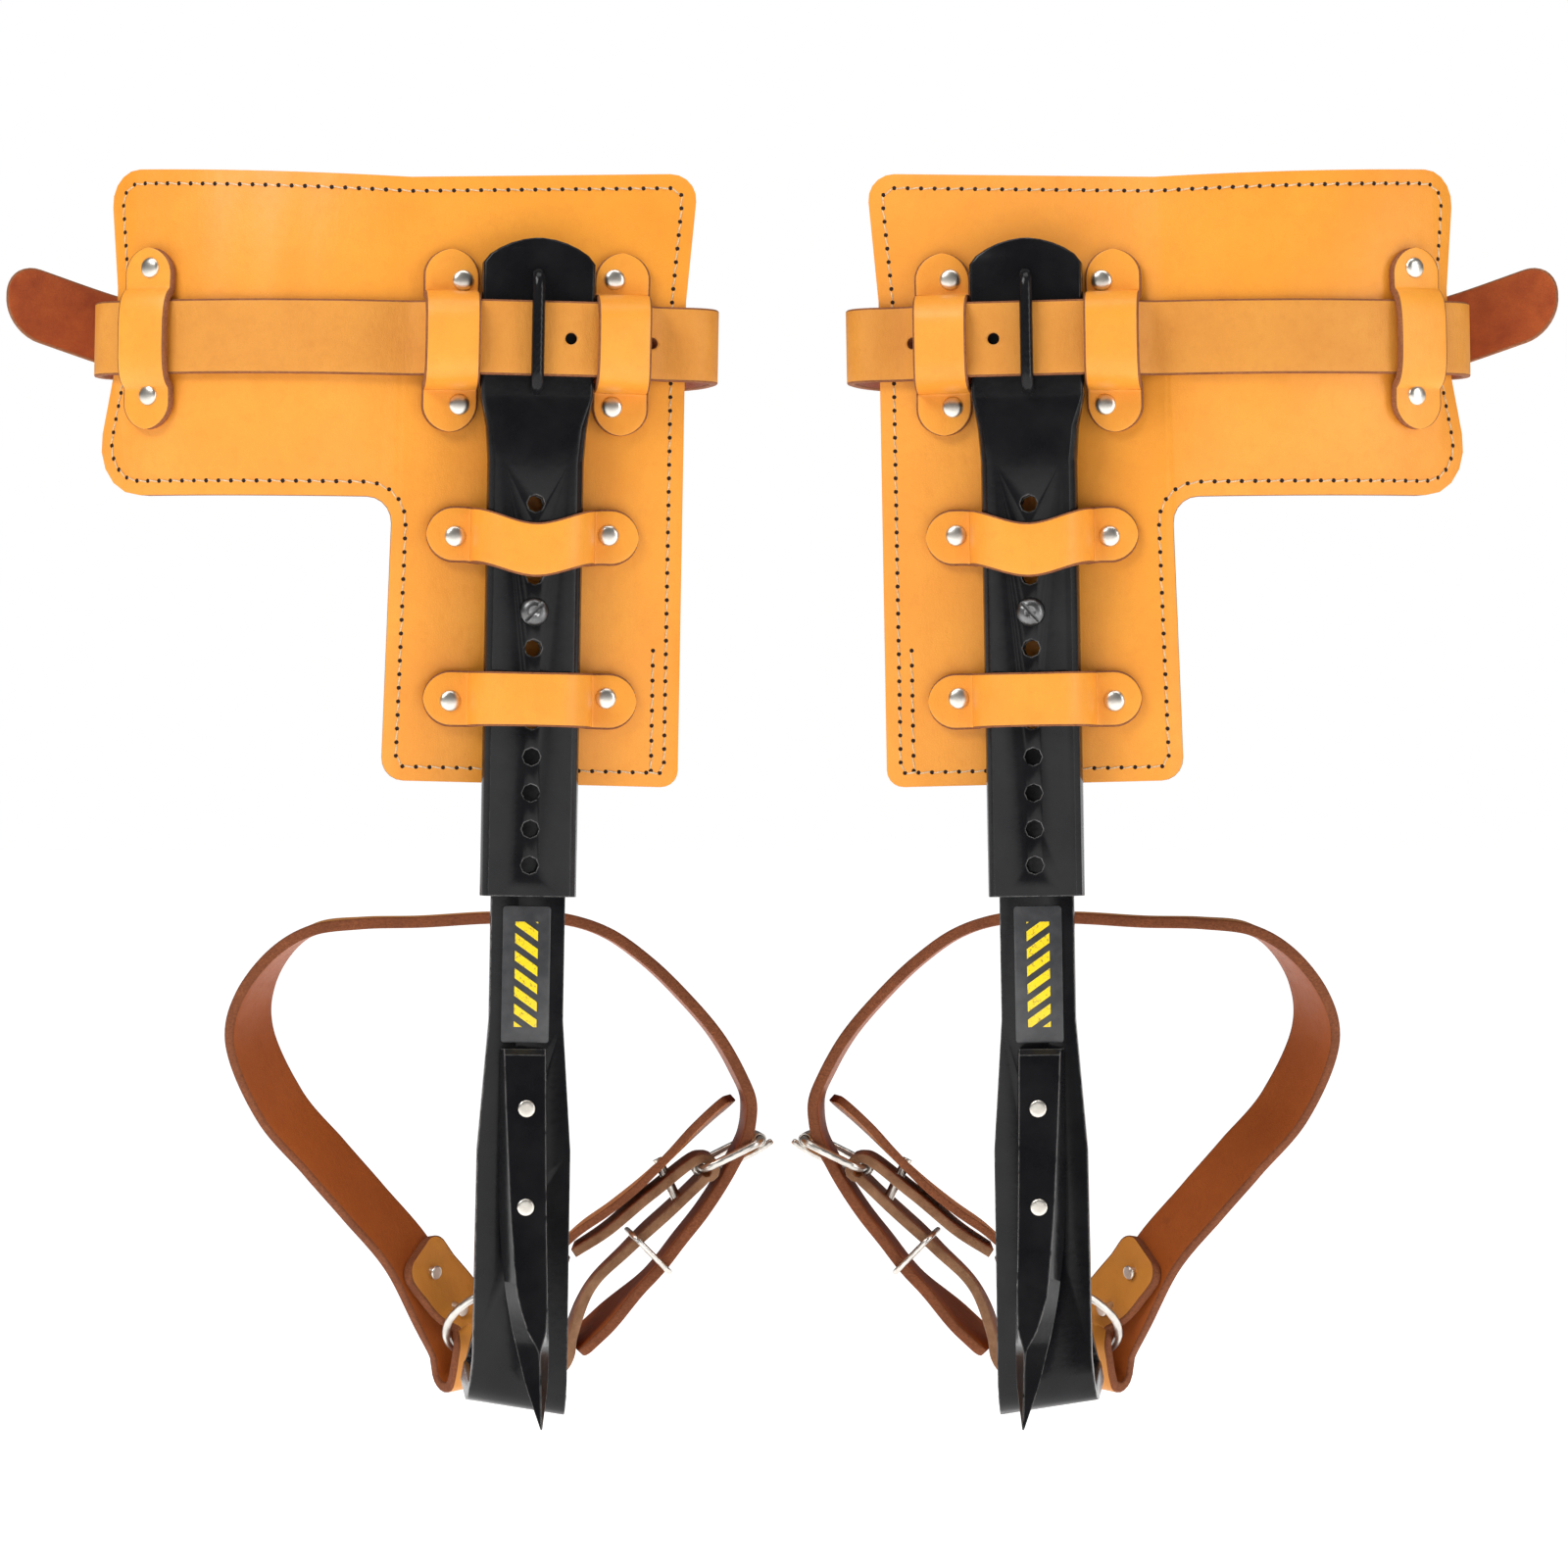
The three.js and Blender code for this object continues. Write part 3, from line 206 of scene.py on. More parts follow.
def suede(name, light, dark):
    m = Nodes(name, rough=0.92, Specular_IOR_Level=0.15, Sheen_Weight=0.35, Sheen_Roughness=0.5)
    nap = m.noise(1600, 5, 0.8)
    cloud = m.noise(90, 5, 0.65)
    tone = m.mix(m.ramp(cloud, ((0.3, 0), (0.7, 1))), light, dark)
    m.colour(m.mix(m.ramp(nap, ((0.45, 0), (0.7, 0.45))), tone, dark))
    m.roughness(nap, 0.8, 1.0)
    m.bump((cloud, 0.0008, 0.4), (nap, 0.0003, 0.8))
    return m.mat


def black_paint(name, wear=0.5):
    m = Nodes(name, rough=0.2, Specular_IOR_Level=0.2, Coat_Weight=0.04, Coat_Roughness=0.08)
    peel = m.noise(420, 3, 0.5)
    dust = m.noise(1900, 4, 0.7)
    scratch = m.noise(300, 6, 0.75, stretch=(1, 1, 0.12))
    tone = m.mix(m.ramp(m.noise(55, 4), ((0.4, 0), (0.7, 1))), (0.005, 0.005, 0.006), (0.010, 0.010, 0.011))
    tone = m.mix(m.ramp(dust, ((0.68, 0), (0.8, 0.2))), tone, (0.04, 0.038, 0.036))
    patches = m.ramp(m.noise(260, 5, 0.7), ((0.36, 0), (0.56, 1)))
    rubbed = m.math("MULTIPLY", m.edges(0.0009, 0.9, 0.985), patches)
    worn = m.math("MULTIPLY", rubbed, wear)
    m.colour(m.mix(worn, tone, (0.38, 0.37, 0.36)))
    m.tree.links.new(m.math("MULTIPLY", worn, 0.8), m.bsdf.inputs["Metallic"])
    m.roughness(m.mix(0.5, peel, scratch), 0.12, 0.3)
    m.bump((peel, 0.00016, 0.28), (scratch, 0.00008, 0.3))
    return m.mat


def steel(name, base, dark, low, high, along=(1, 1, 0.1)):
    m = Nodes(name, rough=0.3, metallic=1.0)
    lines = m.noise(700, 5, 0.7, stretch=along)
    cloud = m.noise(120, 4, 0.6)
    tone = m.mix(m.ramp(cloud, ((0.35, 0), (0.72, 1))), base, dark)
    m.colour(m.mix(m.ramp(lines, ((0.5, 0), (0.75, 0.35))), tone, dark))
    m.roughness(m.mix(0.5, cloud, lines), low, high)
    m.bump((lines, 0.00009, 0.4), (cloud, 0.0003, 0.15))
    return m.mat


def thread_mat():
    m = Nodes("waxed_thread", rough=0.6, Sheen_Weight=0.2)
    ply = m.noise(2600, 3, 0.6, stretch=(1, 1, 0.5))
    m.colour(m.mix(m.ramp(ply, ((0.35, 0), (0.65, 1))), (0.80, 0.62, 0.38), (0.50, 0.33, 0.16)))
    m.roughness(ply, 0.5, 0.75)
    m.bump((ply, 0.0002, 0.7))
    return m.mat


BARS_MIDDLE, BARS_HALF_HEIGHT, BARS_HALF_WIDTH, BAR_PITCH = 147.0, 18.5, 4.0, 6.2


def label_mat(side):
    """dark film with a column of slanted yellow bars, drawn in the spur's own frame"""
    m = Nodes(f"{side}_label_print", rough=0.42, Coat_Weight=0.3, Coat_Roughness=0.2)
    sign = 1 if side == "left" else -1
    inverse = world("left").inverted()
    turn = m.add("ShaderNodeMapping", {"Vector": m.coord}, Scale=(sign, 1, 1)).outputs[0]
    parts = []
    for row in (0, 2):
        axis = tuple(inverse[row][i] for i in range(3))
        dot = m.add("ShaderNodeVectorMath", {0: turn}, operation="DOT_PRODUCT")
        dot.inputs[1].default_value = axis
        parts.append(m.math("ADD", dot.outputs["Value"], inverse[row][3]))
    across, up = parts
    within = m.math("LESS_THAN", m.math("ABSOLUTE", m.math("SUBTRACT", up, BARS_MIDDLE)), BARS_HALF_HEIGHT)
    inside = m.math("LESS_THAN", m.math("ABSOLUTE", m.math("ADD", across, 0.4)), BARS_HALF_WIDTH)
    inside = m.math("MULTIPLY", inside, within)
    slant = m.math("ADD", m.math("MULTIPLY", across, 0.7), up)
    bars = m.math("LESS_THAN", m.math("FRACT", m.math("DIVIDE", slant, BAR_PITCH)), 0.56)
    scuff = m.ramp(m.noise(900, 5, 0.7), ((0.34, 0.35), (0.46, 1)))
    print_mask = m.math("MULTIPLY", m.math("MULTIPLY", inside, bars), scuff)
    film = m.mix(m.ramp(m.noise(200, 4), ((0.4, 0), (0.7, 1))), (0.028, 0.029, 0.031), (0.05, 0.05, 0.053))
    m.colour(m.mix(print_mask, film, (0.92, 0.66, 0.005)))
    m.roughness(m.noise(500, 4), 0.32, 0.52)
    m.bump((print_mask, 0.0001, 0.4), (m.noise(350, 4), 0.0002, 0.25))
    return m.mat


PAD = leather("pad_leather", (0.86, 0.335, 0.034), (0.74, 0.24, 0.018), grain=1300, rough=0.40)
PAD_LINING = leather("lining_leather", (0.80, 0.33, 0.05), (0.62, 0.21, 0.025), grain=1300, rough=0.5)
LOOP = leather("loop_leather", (0.88, 0.36, 0.040), (0.76, 0.25, 0.02), grain=1500, rough=0.40)
STRAP = leather("calf_strap_leather", (0.72, 0.30, 0.040), (0.56, 0.19, 0.02), grain=1900, rough=0.48,
                depth=2.2)
FOOT_OUT = leather("foot_strap_outer", (0.62, 0.25, 0.035), (0.5, 0.16, 0.02), grain=1500, rough=0.42)
FOOT = leather("foot_strap_leather", (0.36, 0.085, 0.012), (0.25, 0.05, 0.007), grain=1500, rough=0.5,
               depth=1.5, stain=(0.2, 0.045, 0.01), shine=0.2)
GUARD = leather("guard_leather", (0.55, 0.18, 0.035), (0.38, 0.10, 0.018), grain=1700, rough=0.5, depth=1.3)
EDGE = cut_edge("cut_edge", (0.36, 0.14, 0.055), (0.19, 0.062, 0.024))
FOOT_EDGE = cut_edge("foot_cut_edge", (0.27, 0.085, 0.03), (0.14, 0.04, 0.015))
SUEDE = suede("chape_suede", (0.36, 0.19, 0.10), (0.17, 0.075, 0.033))
CHAPE = leather("chape_leather", (0.40, 0.13, 0.03), (0.26, 0.07, 0.015), grain=1500, rough=0.5, depth=1.2)
FLESH = suede("strap_flesh_side", (0.42, 0.085, 0.014), (0.28, 0.045, 0.008))
BLACK = black_paint("black_gloss_paint", 0.55)
BLACK_GAFF = black_paint("black_gaff_paint", 1.0)
NICKEL = steel("satin_nickel", (0.74, 0.71, 0.66), (0.52, 0.49, 0.45), 0.2, 0.42)
RIVET = steel("rivet_nickel", (0.80, 0.76, 0.69), (0.60, 0.56, 0.50), 0.22, 0.4, along=(1, 1, 1))
SCREW = steel("blackened_screw", (0.2, 0.2, 0.2), (0.07, 0.07, 0.07), 0.25, 0.45, along=(1, 1, 1))
THREAD = thread_mat()
# near-black colour for the stitch holes: painted shade standing in for the dark inside of each hole
STITCH_HOLE_SHADE = cut_edge("stitch_hole_painted_shade", (0.035, 0.012, 0.005), (0.012, 0.006, 0.004))


# ---- working with the CAD nodes -----------------------------------------------------------------
def modifier(obj, kind, name, **values):
    made = obj.modifiers.new(name, kind)
    for key, value in values.items():
        setattr(made, key, value)
    return made


def round_edges(obj, width, angle=35, segments=2):
    modifier(obj, "BEVEL", "round_edges", width=width * MM, segments=segments, limit_method="ANGLE",
             angle_limit=math.radians(angle), harden_normals=True, use_clamp_overlap=True)


def tidy_copy(node):
    """a copy of a CAD node's mesh with shared corners and flat faces made whole"""
    mesh = frame["nodes"][node].data
    bm = bmesh.new()
    bm.from_mesh(mesh)
    bmesh.ops.remove_doubles(bm, verts=bm.verts, dist=1e-6)
    bmesh.ops.dissolve_limit(bm, angle_limit=math.radians(0.5), verts=bm.verts, edges=bm.edges)
    bmesh.ops.recalc_face_normals(bm, faces=bm.faces)
    return bm


def dress(node, face, edge=None, thickness=3.0, width=0.5, angle=35):
    """A finished piece in a CAD node's place. Faces with more than the sheet's thickness behind
    them are its cut edges."""
    bm = tidy_copy(node)
    if edge:
        tree = BVHTree.FromBMesh(bm)
        for f in bm.faces:
            centre = f.calc_center_median()
            hit = tree.ray_cast(centre - f.normal * 1e-5, -f.normal)
            deep = hit[3] if hit[3] is not None else 1.0
            f.material_index = 1 if deep > thickness * 1.7 * MM else 0
    for f in bm.faces:
        f.smooth = True
    mesh = bpy.data.meshes.new(f"{node}_finished")
    bm.to_mesh(mesh)
    bm.free()
    mesh.materials.append(face)
    if edge:
        mesh.materials.append(edge)
    obj = bpy.data.objects.new(f"{node}_finished", mesh)
    bpy.context.collection.objects.link(obj)
    round_edges(obj, width, angle)
    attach(obj, BODY_OF[node])
    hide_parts(node)
    return obj


def finish_node(node, material, width=0.0, angle=50, levels=0, grow=0.0):
    """a CAD node kept as it is, with its own material, rounded edges and smooth curves"""
    obj = frame["nodes"][node]
    for slot in obj.material_slots:
        slot.material = material
    for polygon in obj.data.polygons:
        polygon.use_smooth = True
    modifier(obj, "WELD", "weld", merge_threshold=1e-6)
    if width:
        round_edges(obj, width, angle)
    if levels:
        modifier(obj, "SUBSURF", "smooth_curves", levels=levels, render_levels=levels)
    if grow:
        modifier(obj, "DISPLACE", "full_radius", strength=grow * MM, mid_level=0)


def from_faces(name, verts, faces, slots, materials, body):
    mesh = bpy.data.meshes.new(name)
    mesh.from_pydata([tuple(v) for v in verts], [], faces)
    for polygon, index in zip(mesh.polygons, slots):
        polygon.material_index = index
        polygon.use_smooth = len(polygon.vertices) <= 4
    for material in materials:
        mesh.materials.append(material)
    bm = bmesh.new()
    bm.from_mesh(mesh)
    bmesh.ops.recalc_face_normals(bm, faces=bm.faces)
    bm.to_mesh(mesh)
    bm.free()
    obj = bpy.data.objects.new(name, mesh)
    bpy.context.collection.objects.link(obj)
    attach(obj, body)
    return obj


def from_parts(name, parts, materials, body):
    """one mesh from (vertices, faces, material index) in metres"""
    verts, faces, slots = [], [], []
    for part_verts, part_faces, index in parts:
        base = len(verts)
        verts += [tuple(v) for v in part_verts]
        faces += [tuple(base + i for i in f) for f in part_faces]
        slots += [index] * len(part_faces)
    return from_faces(name, verts, faces, slots, materials, body)


def lathe(profile, place, sides=24):
    """profile of (radius, height) that starts and ends on the axis; height is along place's z"""
    verts, faces = [], []
    for r, h in profile:
        if r == 0:
            verts.append(place @ Vector((0, 0, h)))
            continue
        for i in range(sides):
            a = 2 * math.pi * i / sides
            verts.append(place @ Vector((r * math.cos(a), r * math.sin(a), h)))
    rings, at = [], 0
    for r, _ in profile:
        count = 1 if r == 0 else sides
        rings.append(range(at, at + count))
        at += count
    for low, high in zip(rings, rings[1:]):
        for i in range(sides):
            j = (i + 1) % sides
            if len(low) == 1:
                faces.append((low[0], high[j], high[i]))
            elif len(high) == 1:
                faces.append((low[i], low[j], high[0]))
            else:
                faces.append((low[i], low[j], high[j], high[i]))
    return verts, faces


# ---- the pad's surface, as in the CAD model -------------------------------------------------------
PAD_FRONT, LEATHER, GAP = 11, 3, 0.3
WING_START, WING_RADIUS = -48, 150
PAD_CORNERS = [(-161, 431, 12), (-45, 427.6, 0), (57, 431.5, 9), (53.2, 386, 30), (53.2, 213.6, 6),
               (-52, 214.4, 8), (-49.6, 314.6, 9), (-168, 314.4, 18), (-157.8, 358, 22),
               (-156.6, 388, 22)]


def on_pad(x, w, d):
    """a point on the pad in mm and the pad's forward direction there"""
    if x >= WING_START:
        return Vector((x, PAD_FRONT + d, w)), Vector((0, -1, 0))
    a = (WING_START - x) / WING_RADIUS
    r = WING_RADIUS - d
    return (Vector((WING_START - r * math.sin(a), PAD_FRONT + WING_RADIUS - r * math.cos(a), w)),
            Vector((-math.sin(a), -math.cos(a), 0)))


def rounded(corners, steps=8):
    outline = []
    for i, (x, y, r) in enumerate(corners):
        here = Vector((x, y))
        back = (Vector(corners[i - 1][:2]) - here).normalized()
        on = (Vector(corners[(i + 1) % len(corners)][:2]) - here).normalized()
        half = math.acos(max(-1, min(1, back.dot(on)))) / 2
        if r <= 0 or half > 1.5:
            outline.append(here)
            continue
        centre = here + (back + on).normalized() * (r / math.sin(half))
        start = here + back * (r / math.tan(half)) - centre
        end = here + on * (r / math.tan(half)) - centre
        sweep = math.atan2(start.x * end.y - start.y * end.x, start.dot(end))
        for k in range(steps + 1):
            a = sweep * k / steps
            outline.append(centre + Vector((start.x * math.cos(a) - start.y * math.sin(a),
                                            start.x * math.sin(a) + start.y * math.cos(a))))
    return outline


def inset(corners, distance):
    """the same outline, moved inwards; its corners run clockwise"""
    moved = []
    n = len(corners)
    for i, (x, y, r) in enumerate(corners):
        here = Vector((x, y))
        a = (here - Vector(corners[i - 1][:2])).normalized()
        b = (Vector(corners[(i + 1) % n][:2]) - here).normalized()
        na, nb = Vector((a.y, -a.x)), Vector((b.y, -b.x))
        middle = (na + nb).normalized()
        point = here + middle * (distance / max(0.3, middle.dot(na)))
        convex = a.x * b.y - a.y * b.x < 0
        moved.append((point.x, point.y, max(0, r - distance) if convex else r + distance))
    return moved


def walk(outline, pitch):
    """points at even steps round a closed outline"""
    points = outline + [outline[0]]
    lengths = [0]
    for p, q in zip(points, points[1:]):
        lengths.append(lengths[-1] + (q - p).length)
    count = round(lengths[-1] / pitch)
    result, k = [], 0
    for i in range(count):
        s = lengths[-1] * i / count
        while lengths[k + 1] < s:
            k += 1
        t = (s - lengths[k]) / (lengths[k + 1] - lengths[k])
        result.append(points[k].lerp(points[k + 1], t))
    return result


CAPSULE = [(-1.0, 0.0), (-0.86, 0.5), (-0.5, 0.85), (0.0, 1.0), (0.5, 0.85), (0.86, 0.5), (1.0, 0.0)]


STITCH_SLANT = 0.16


def stitch(p, q, out, place, half_width=0.3, rise=0.4):
    """one stitch of thread between two holes, sunk at both ends"""
    along = q - p
    middle = (p + q) / 2
    half = along.length / 2 * 0.86
    along.normalize()
    side = along.cross(out).normalized()
    along = (along + side * STITCH_SLANT).normalized()
    verts, faces, sides = [], [], 8
    for t, r in CAPSULE:
        for i in range(sides):
            a = 2 * math.pi * i / sides
            lift = rise * 0.5 * (1 - t * t)
            point = middle + along * half * t + side * half_width * r * math.cos(a)
            verts.append(place @ (point + out * (half_width * r * math.sin(a) + lift - 0.12)))
    for k in range(len(CAPSULE) - 1):
        for i in range(sides):
            j = (i + 1) % sides
            faces.append((k * sides + i, k * sides + j, (k + 1) * sides + j, (k + 1) * sides + i))
    return verts, faces


def stitch_hole_shade_disc(p, out, place, radius=0.88):
    """a shallow dark disc at a stitch's end, painted shade standing in for the stitch hole"""
    turn = out.to_track_quat("Z", "Y").to_matrix().to_4x4()
    here = place @ Matrix.Translation(p) @ turn
    return lathe([(0, -0.15), (radius, -0.15), (radius * 0.85, 0.04), (0, 0.05)], here, 8)


PITCH = 4.8


def sewn_row(side, face, points, closed=True):
    """stitches along points (x, w) on the pad's front (face 1) or back (face -1)"""
    place = world(side)
    depth = -0.02 if face > 0 else 2 * LEATHER + GAP + 0.02
    spots = []
    for p in points:
        here, forward = on_pad(p.x, p.y, depth)
        spots.append((here, forward * face))
    parts = []
    pairs = zip(spots, spots[1:] + spots[:1]) if closed else zip(spots, spots[1:])
    for (p, out), (q, _) in pairs:
        parts.append((*stitch(p, q, out, place), 0))
    # dark discs at the stitch ends: painted shade of the holes
    for p, out in spots:
        parts.append((*stitch_hole_shade_disc(p, out, place), 1))
    return parts


def pad_stitching(side):
    round_line = walk(rounded(inset(PAD_CORNERS, 5.0)), PITCH)
    patch = [Vector((x, w)) for x, w in ((43.6, 219.4), (43.6, 262))]
    extra_count = int((patch[1] - patch[0]).length / PITCH)
    extra = [patch[0].lerp(patch[1], i / extra_count) for i in range(extra_count + 1)]
    for face, name in ((1, "front"), (-1, "back")):
        parts = sewn_row(side, face, round_line) + sewn_row(side, face, extra, closed=False)
        from_parts(f"{side}_pad_stitching_{name}", parts, (THREAD, STITCH_HOLE_SHADE), f"{side}_upper")


DOME = [(0, -0.6), (3.7, -0.6), (3.75, 0.1), (3.6, 0.5), (3.1, 0.95), (2.3, 1.25), (1.2, 1.42), (0, 1.48)]
BURR = [(0, -0.3), (3.6, -0.3), (3.6, 0.3), (2.9, 0.75), (1.7, 0.6), (1.1, 0.15), (0, 0.1)]
BAND_FRONT = -(GAP + LEATHER)
RIVETS_AT = {"loop_wing": [(-139.6, 395.0), (-139.6, 349.8)],
             "loop_strap_left": [(-26.2, 391.2), (-26.8, 347.4)],
             "loop_strap_right": [(27.4, 392.8), (27.2, 347.7)],
             "loop_sleeve_upper": [(-27.4, 300.9), (26.8, 302.3)],
             "loop_sleeve_lower": [(-28.1, 242.8), (26.9, 244.7)]}


def pad_rivets(side):
    for loop, spots in RIVETS_AT.items():
        for number, (x, w) in enumerate(spots):
            extra = GAP if loop == "loop_wing" else 0
            here, forward = on_pad(x, w, BAND_FRONT - extra)
            turn = forward.to_track_quat("Z", "Y").to_matrix().to_4x4()
            head = lathe(DOME, world(side) @ Matrix.Translation(here) @ turn, 28)
            behind, _ = on_pad(x, w, 2 * LEATHER + GAP)
            turn = (-forward).to_track_quat("Z", "Y").to_matrix().to_4x4()
            burr = lathe(BURR, world(side) @ Matrix.Translation(behind) @ turn, 20)
            name = f"{side}_{loop}_rivet_{number + 1}"
            from_parts(name, [(*head, 0), (*burr, 0)], (RIVET,), f"{side}_upper")


# ---- bands of leather -------------------------------------------------------------------------------
FLAT_FACES = 8  # strips across a band's flat side
FACES_BELOW = 15  # where the lower side starts in a band's section


def ribbon(name, rows, place, thickness, materials, body, corner=0.7, crown=0.12):
    """A band of leather. rows are (s, half width); place(s, c, d) bends it, with c across and d
    through the thickness. The materials are the +d face's, the cut edges' and the -d face's."""
    h = thickness / 2
    turns = (0, math.pi / 6, math.pi / 3, math.pi / 2)
    arc = [(corner * math.sin(a), corner * (1 - math.cos(a))) for a in turns]
    flat = [-1 + 2 * k / FLAT_FACES for k in range(FLAT_FACES + 1)]
    verts, faces, slots, count = [], [], [], 0
    below_slot = 2 if len(materials) > 2 else 0
    for s, half in rows:
        r = min(1.0, half / (2 * corner))
        inner = half - corner * r
        section = [(inner * f, h + crown * (1 - f * f)) for f in flat]
        section += [(inner + x * r, h - y) for x, y in arc[1:]]
        section += [(inner + x * r, -h + y) for x, y in reversed(arc[1:])]
        section += [(-inner * f, -h) for f in flat]
        section += [(-inner - x * r, -h + y) for x, y in arc[1:]]
        section += [(-inner - x * r, h - y) for x, y in reversed(arc[1:])]
        count = len(section)
        verts += [place(s, c, d) for c, d in section]
    for i in range(len(rows) - 1):
        for j in range(count):
            k = (j + 1) % count
            faces.append((i * count + j, i * count + k, (i + 1) * count + k, (i + 1) * count + j))
            below = FACES_BELOW <= j < FACES_BELOW + FLAT_FACES
            slots.append(0 if j < FLAT_FACES else below_slot if below else 1)
    faces.append(tuple(range(count)))
    faces.append(tuple(range((len(rows) - 1) * count, len(rows) * count)))
    slots += [1, 1]
    return from_faces(name, verts, faces, slots, materials, body)


def rows_along(long, half, step, round_start=0.0, round_end=0.0, waist=0.0):
    """(s, half width) along a band whose ends may be rounded with those radii"""
    def width(s):
        w = half * (1 - waist * math.sin(math.pi * s / long) ** 2)
        for radius, e in ((round_start, s), (round_end, long - s)):
            if radius and e < radius:
                w = min(w, half - radius + math.sqrt(max(0.0, radius ** 2 - (radius - e) ** 2)))
        return max(w, 0.25)

    ends = [1 - math.cos(math.radians(a)) for a in (4, 12, 20, 30, 40, 50, 60, 70, 80, 90)]
    start = [round_start * e for e in ends] if round_start else [0.0]
    end = [long - round_end * e for e in reversed(ends)] if round_end else [long]
    count = max(1, round((end[0] - start[-1]) / step))
    middle = [start[-1] + (end[0] - start[-1]) * k / count for k in range(1, count)]
    return [(s, width(s)) for s in start + middle + end]


def catmull(points, t):
    """the CAD model's curve through the points, at t from 0 to 1"""
    n = len(points)
    i = min(int((n - 1) * t), n - 2)
    w = (n - 1) * t - i
    p0 = points[i - 1] if i > 0 else points[0] * 2 - points[1]
    p1, p2 = points[i], points[i + 1]
    p3 = points[i + 2] if i + 2 < n else points[n - 1] * 2 - points[n - 2]
    d0, d1, d2 = (max((b - a).length, 1e-8) ** 0.5 for a, b in ((p0, p1), (p1, p2), (p2, p3)))
    t1 = ((p1 - p0) / d0 - (p2 - p0) / (d0 + d1) + (p2 - p1) / d1) * d1
    t2 = ((p2 - p1) / d1 - (p3 - p1) / (d1 + d2) + (p3 - p2) / d2) * d1
    return p1 + t1 * w + (p2 * 3 - p1 * 3 - t1 * 2 - t2) * w ** 2 + (p1 * 2 - p2 * 2 + t1 + t2) * w ** 3


class Curve:
    """a smooth curve measured along its length"""

    def __init__(self, points, samples=1500):
        self.points = points
        self.t = [k / samples for k in range(samples + 1)]
        spots = [catmull(points, t) for t in self.t]
        self.s = [0.0]
        for a, b in zip(spots, spots[1:]):
            self.s.append(self.s[-1] + (b - a).length)
        self.long = self.s[-1]

    def parameter(self, s):
        k = min(max(bisect.bisect_left(self.s, s), 1), len(self.s) - 1)
        span = self.s[k] - self.s[k - 1] or 1.0
        return self.t[k - 1] + (self.t[k] - self.t[k - 1]) * (s - self.s[k - 1]) / span

    def at(self, s):
        t = min(max(self.parameter(s), 0.0), 1.0)
        a, b = max(t - 2e-4, 0), min(t + 2e-4, 1)
        return catmull(self.points, t), (catmull(self.points, b) - catmull(self.points, a)).normalized(), t


def ease(t):
    t = min(max(t, 0.0), 1.0)
    return t * t * (3 - 2 * t)


# ---- the loops --------------------------------------------------------------------------------------
BAND_REST = PAD_FRONT - GAP - LEATHER / 2
HEAD_DEEP, SLEEVE_DEEP = 4.5, 7.0
STRAP_OVER = -HEAD_DEEP - GAP - LEATHER / 2
STRAP_HEIGHT, STRAP_WIDTH = 370.5, 26.4


def strap_depth(u):
    return STRAP_OVER + (BAND_REST - STRAP_OVER) * ease((abs(u) - 20.5) / 26)


def arch(rise, foot, power, reach):
    """the middle line of a loop, as (distance along the pad, height over its rest) at even steps"""
    raw = [(-reach, 0.0)]
    for k in range(-90, 91):
        t = foot * math.sin(math.radians(k))
        raw.append((t, rise * math.sqrt(max(0.0, 1 - abs(t / foot) ** power))))
    raw.append((reach, 0.0))
    line = [Vector(p) for p in raw]
    lengths = [0.0]
    for a, b in zip(line, line[1:]):
        lengths.append(lengths[-1] + (b - a).length)
    count, even, k = 140, [], 0
    for i in range(count + 1):
        s = lengths[-1] * i / count
        while k < len(line) - 2 and lengths[k + 1] < s:
            k += 1
        span = lengths[k + 1] - lengths[k] or 1.0
        even.append(line[k].lerp(line[k + 1], (s - lengths[k]) / span))
    for _ in range(9):
        even = [even[0]] + [(a + b * 2 + c) / 4 for a, b, c in zip(even, even[1:], even[2:])] + [even[-1]]
    return even, lengths[-1]


def loop_band(side, name, rise_at, foot, power, reach, point, waist=0.05):
    """rise_at(c) is how far the band stands proud at c across it; point(t, c, up) is in the spur's frame"""
    cache = {}

    def line(c):
        key = round(c, 1)
        if key not in cache:
            cache[key] = arch(rise_at(key), foot, power, reach)
        return cache[key]

    long = line(0.0)[1]
    place_world = world(side)

    def place(s, c, d):
        even, _ = line(c)
        x = min(max(s / long, 0.0), 1.0) * (len(even) - 1)
        i = min(int(x), len(even) - 2)
        p = even[i].lerp(even[i + 1], x - i)
        along = (even[min(i + 2, len(even) - 1)] - even[max(i - 1, 0)]).normalized()
        return place_world @ point(p.x - along.y * d, c, p.y + along.x * d)

    rows = rows_along(long, 10.0, 0.9, 10.0, 10.0, waist)
    obj = ribbon(f"{side}_{name}_finished", rows, place, LEATHER, (LOOP, EDGE), f"{side}_upper")
    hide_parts(f"{side}_{name}")


def over_strap(u):
    return STRAP_OVER - LEATHER - 4 * GAP + 0.24 * (abs(u) - 19.8) - 1.3


def loops(side):
    middle = STRAP_HEIGHT - 0.5
    for name, centre in (("loop_strap_left", -30.2), ("loop_strap_right", 30.2)):
        loop_band(side, name, lambda c, m=centre: BAND_REST - over_strap(m + c), 15.9, 5.5, 32.3,
                  lambda t, c, up, m=centre: Vector((m + c, BAND_REST - up, middle + t)))

    def on_wing(t, c, up):
        here, _ = on_pad(-140.5 + c, middle + t, BAND_REST - up - PAD_FRONT - GAP)
        return here

    loop_band(side, "loop_wing", lambda c: LEATHER + 2 * GAP + 0.9, 16.6, 3.4, 32.3, on_wing)
    over = BAND_REST + SLEEVE_DEEP + GAP + LEATHER / 2
    level_loops = (("loop_sleeve_upper", 301.6, 37.6, 5.5), ("loop_sleeve_lower", 243.6, 37.8, 0))
    for name, height, half, bow in level_loops:
        def on_sleeve(t, c, up, height=height, bow=bow):
            return Vector((t, BAND_REST - up, height + c - bow * ease(1 - abs(t) / 25)))

        loop_band(side, name, lambda c: over + 0.9, 20.4, 4.6, half, on_sleeve)


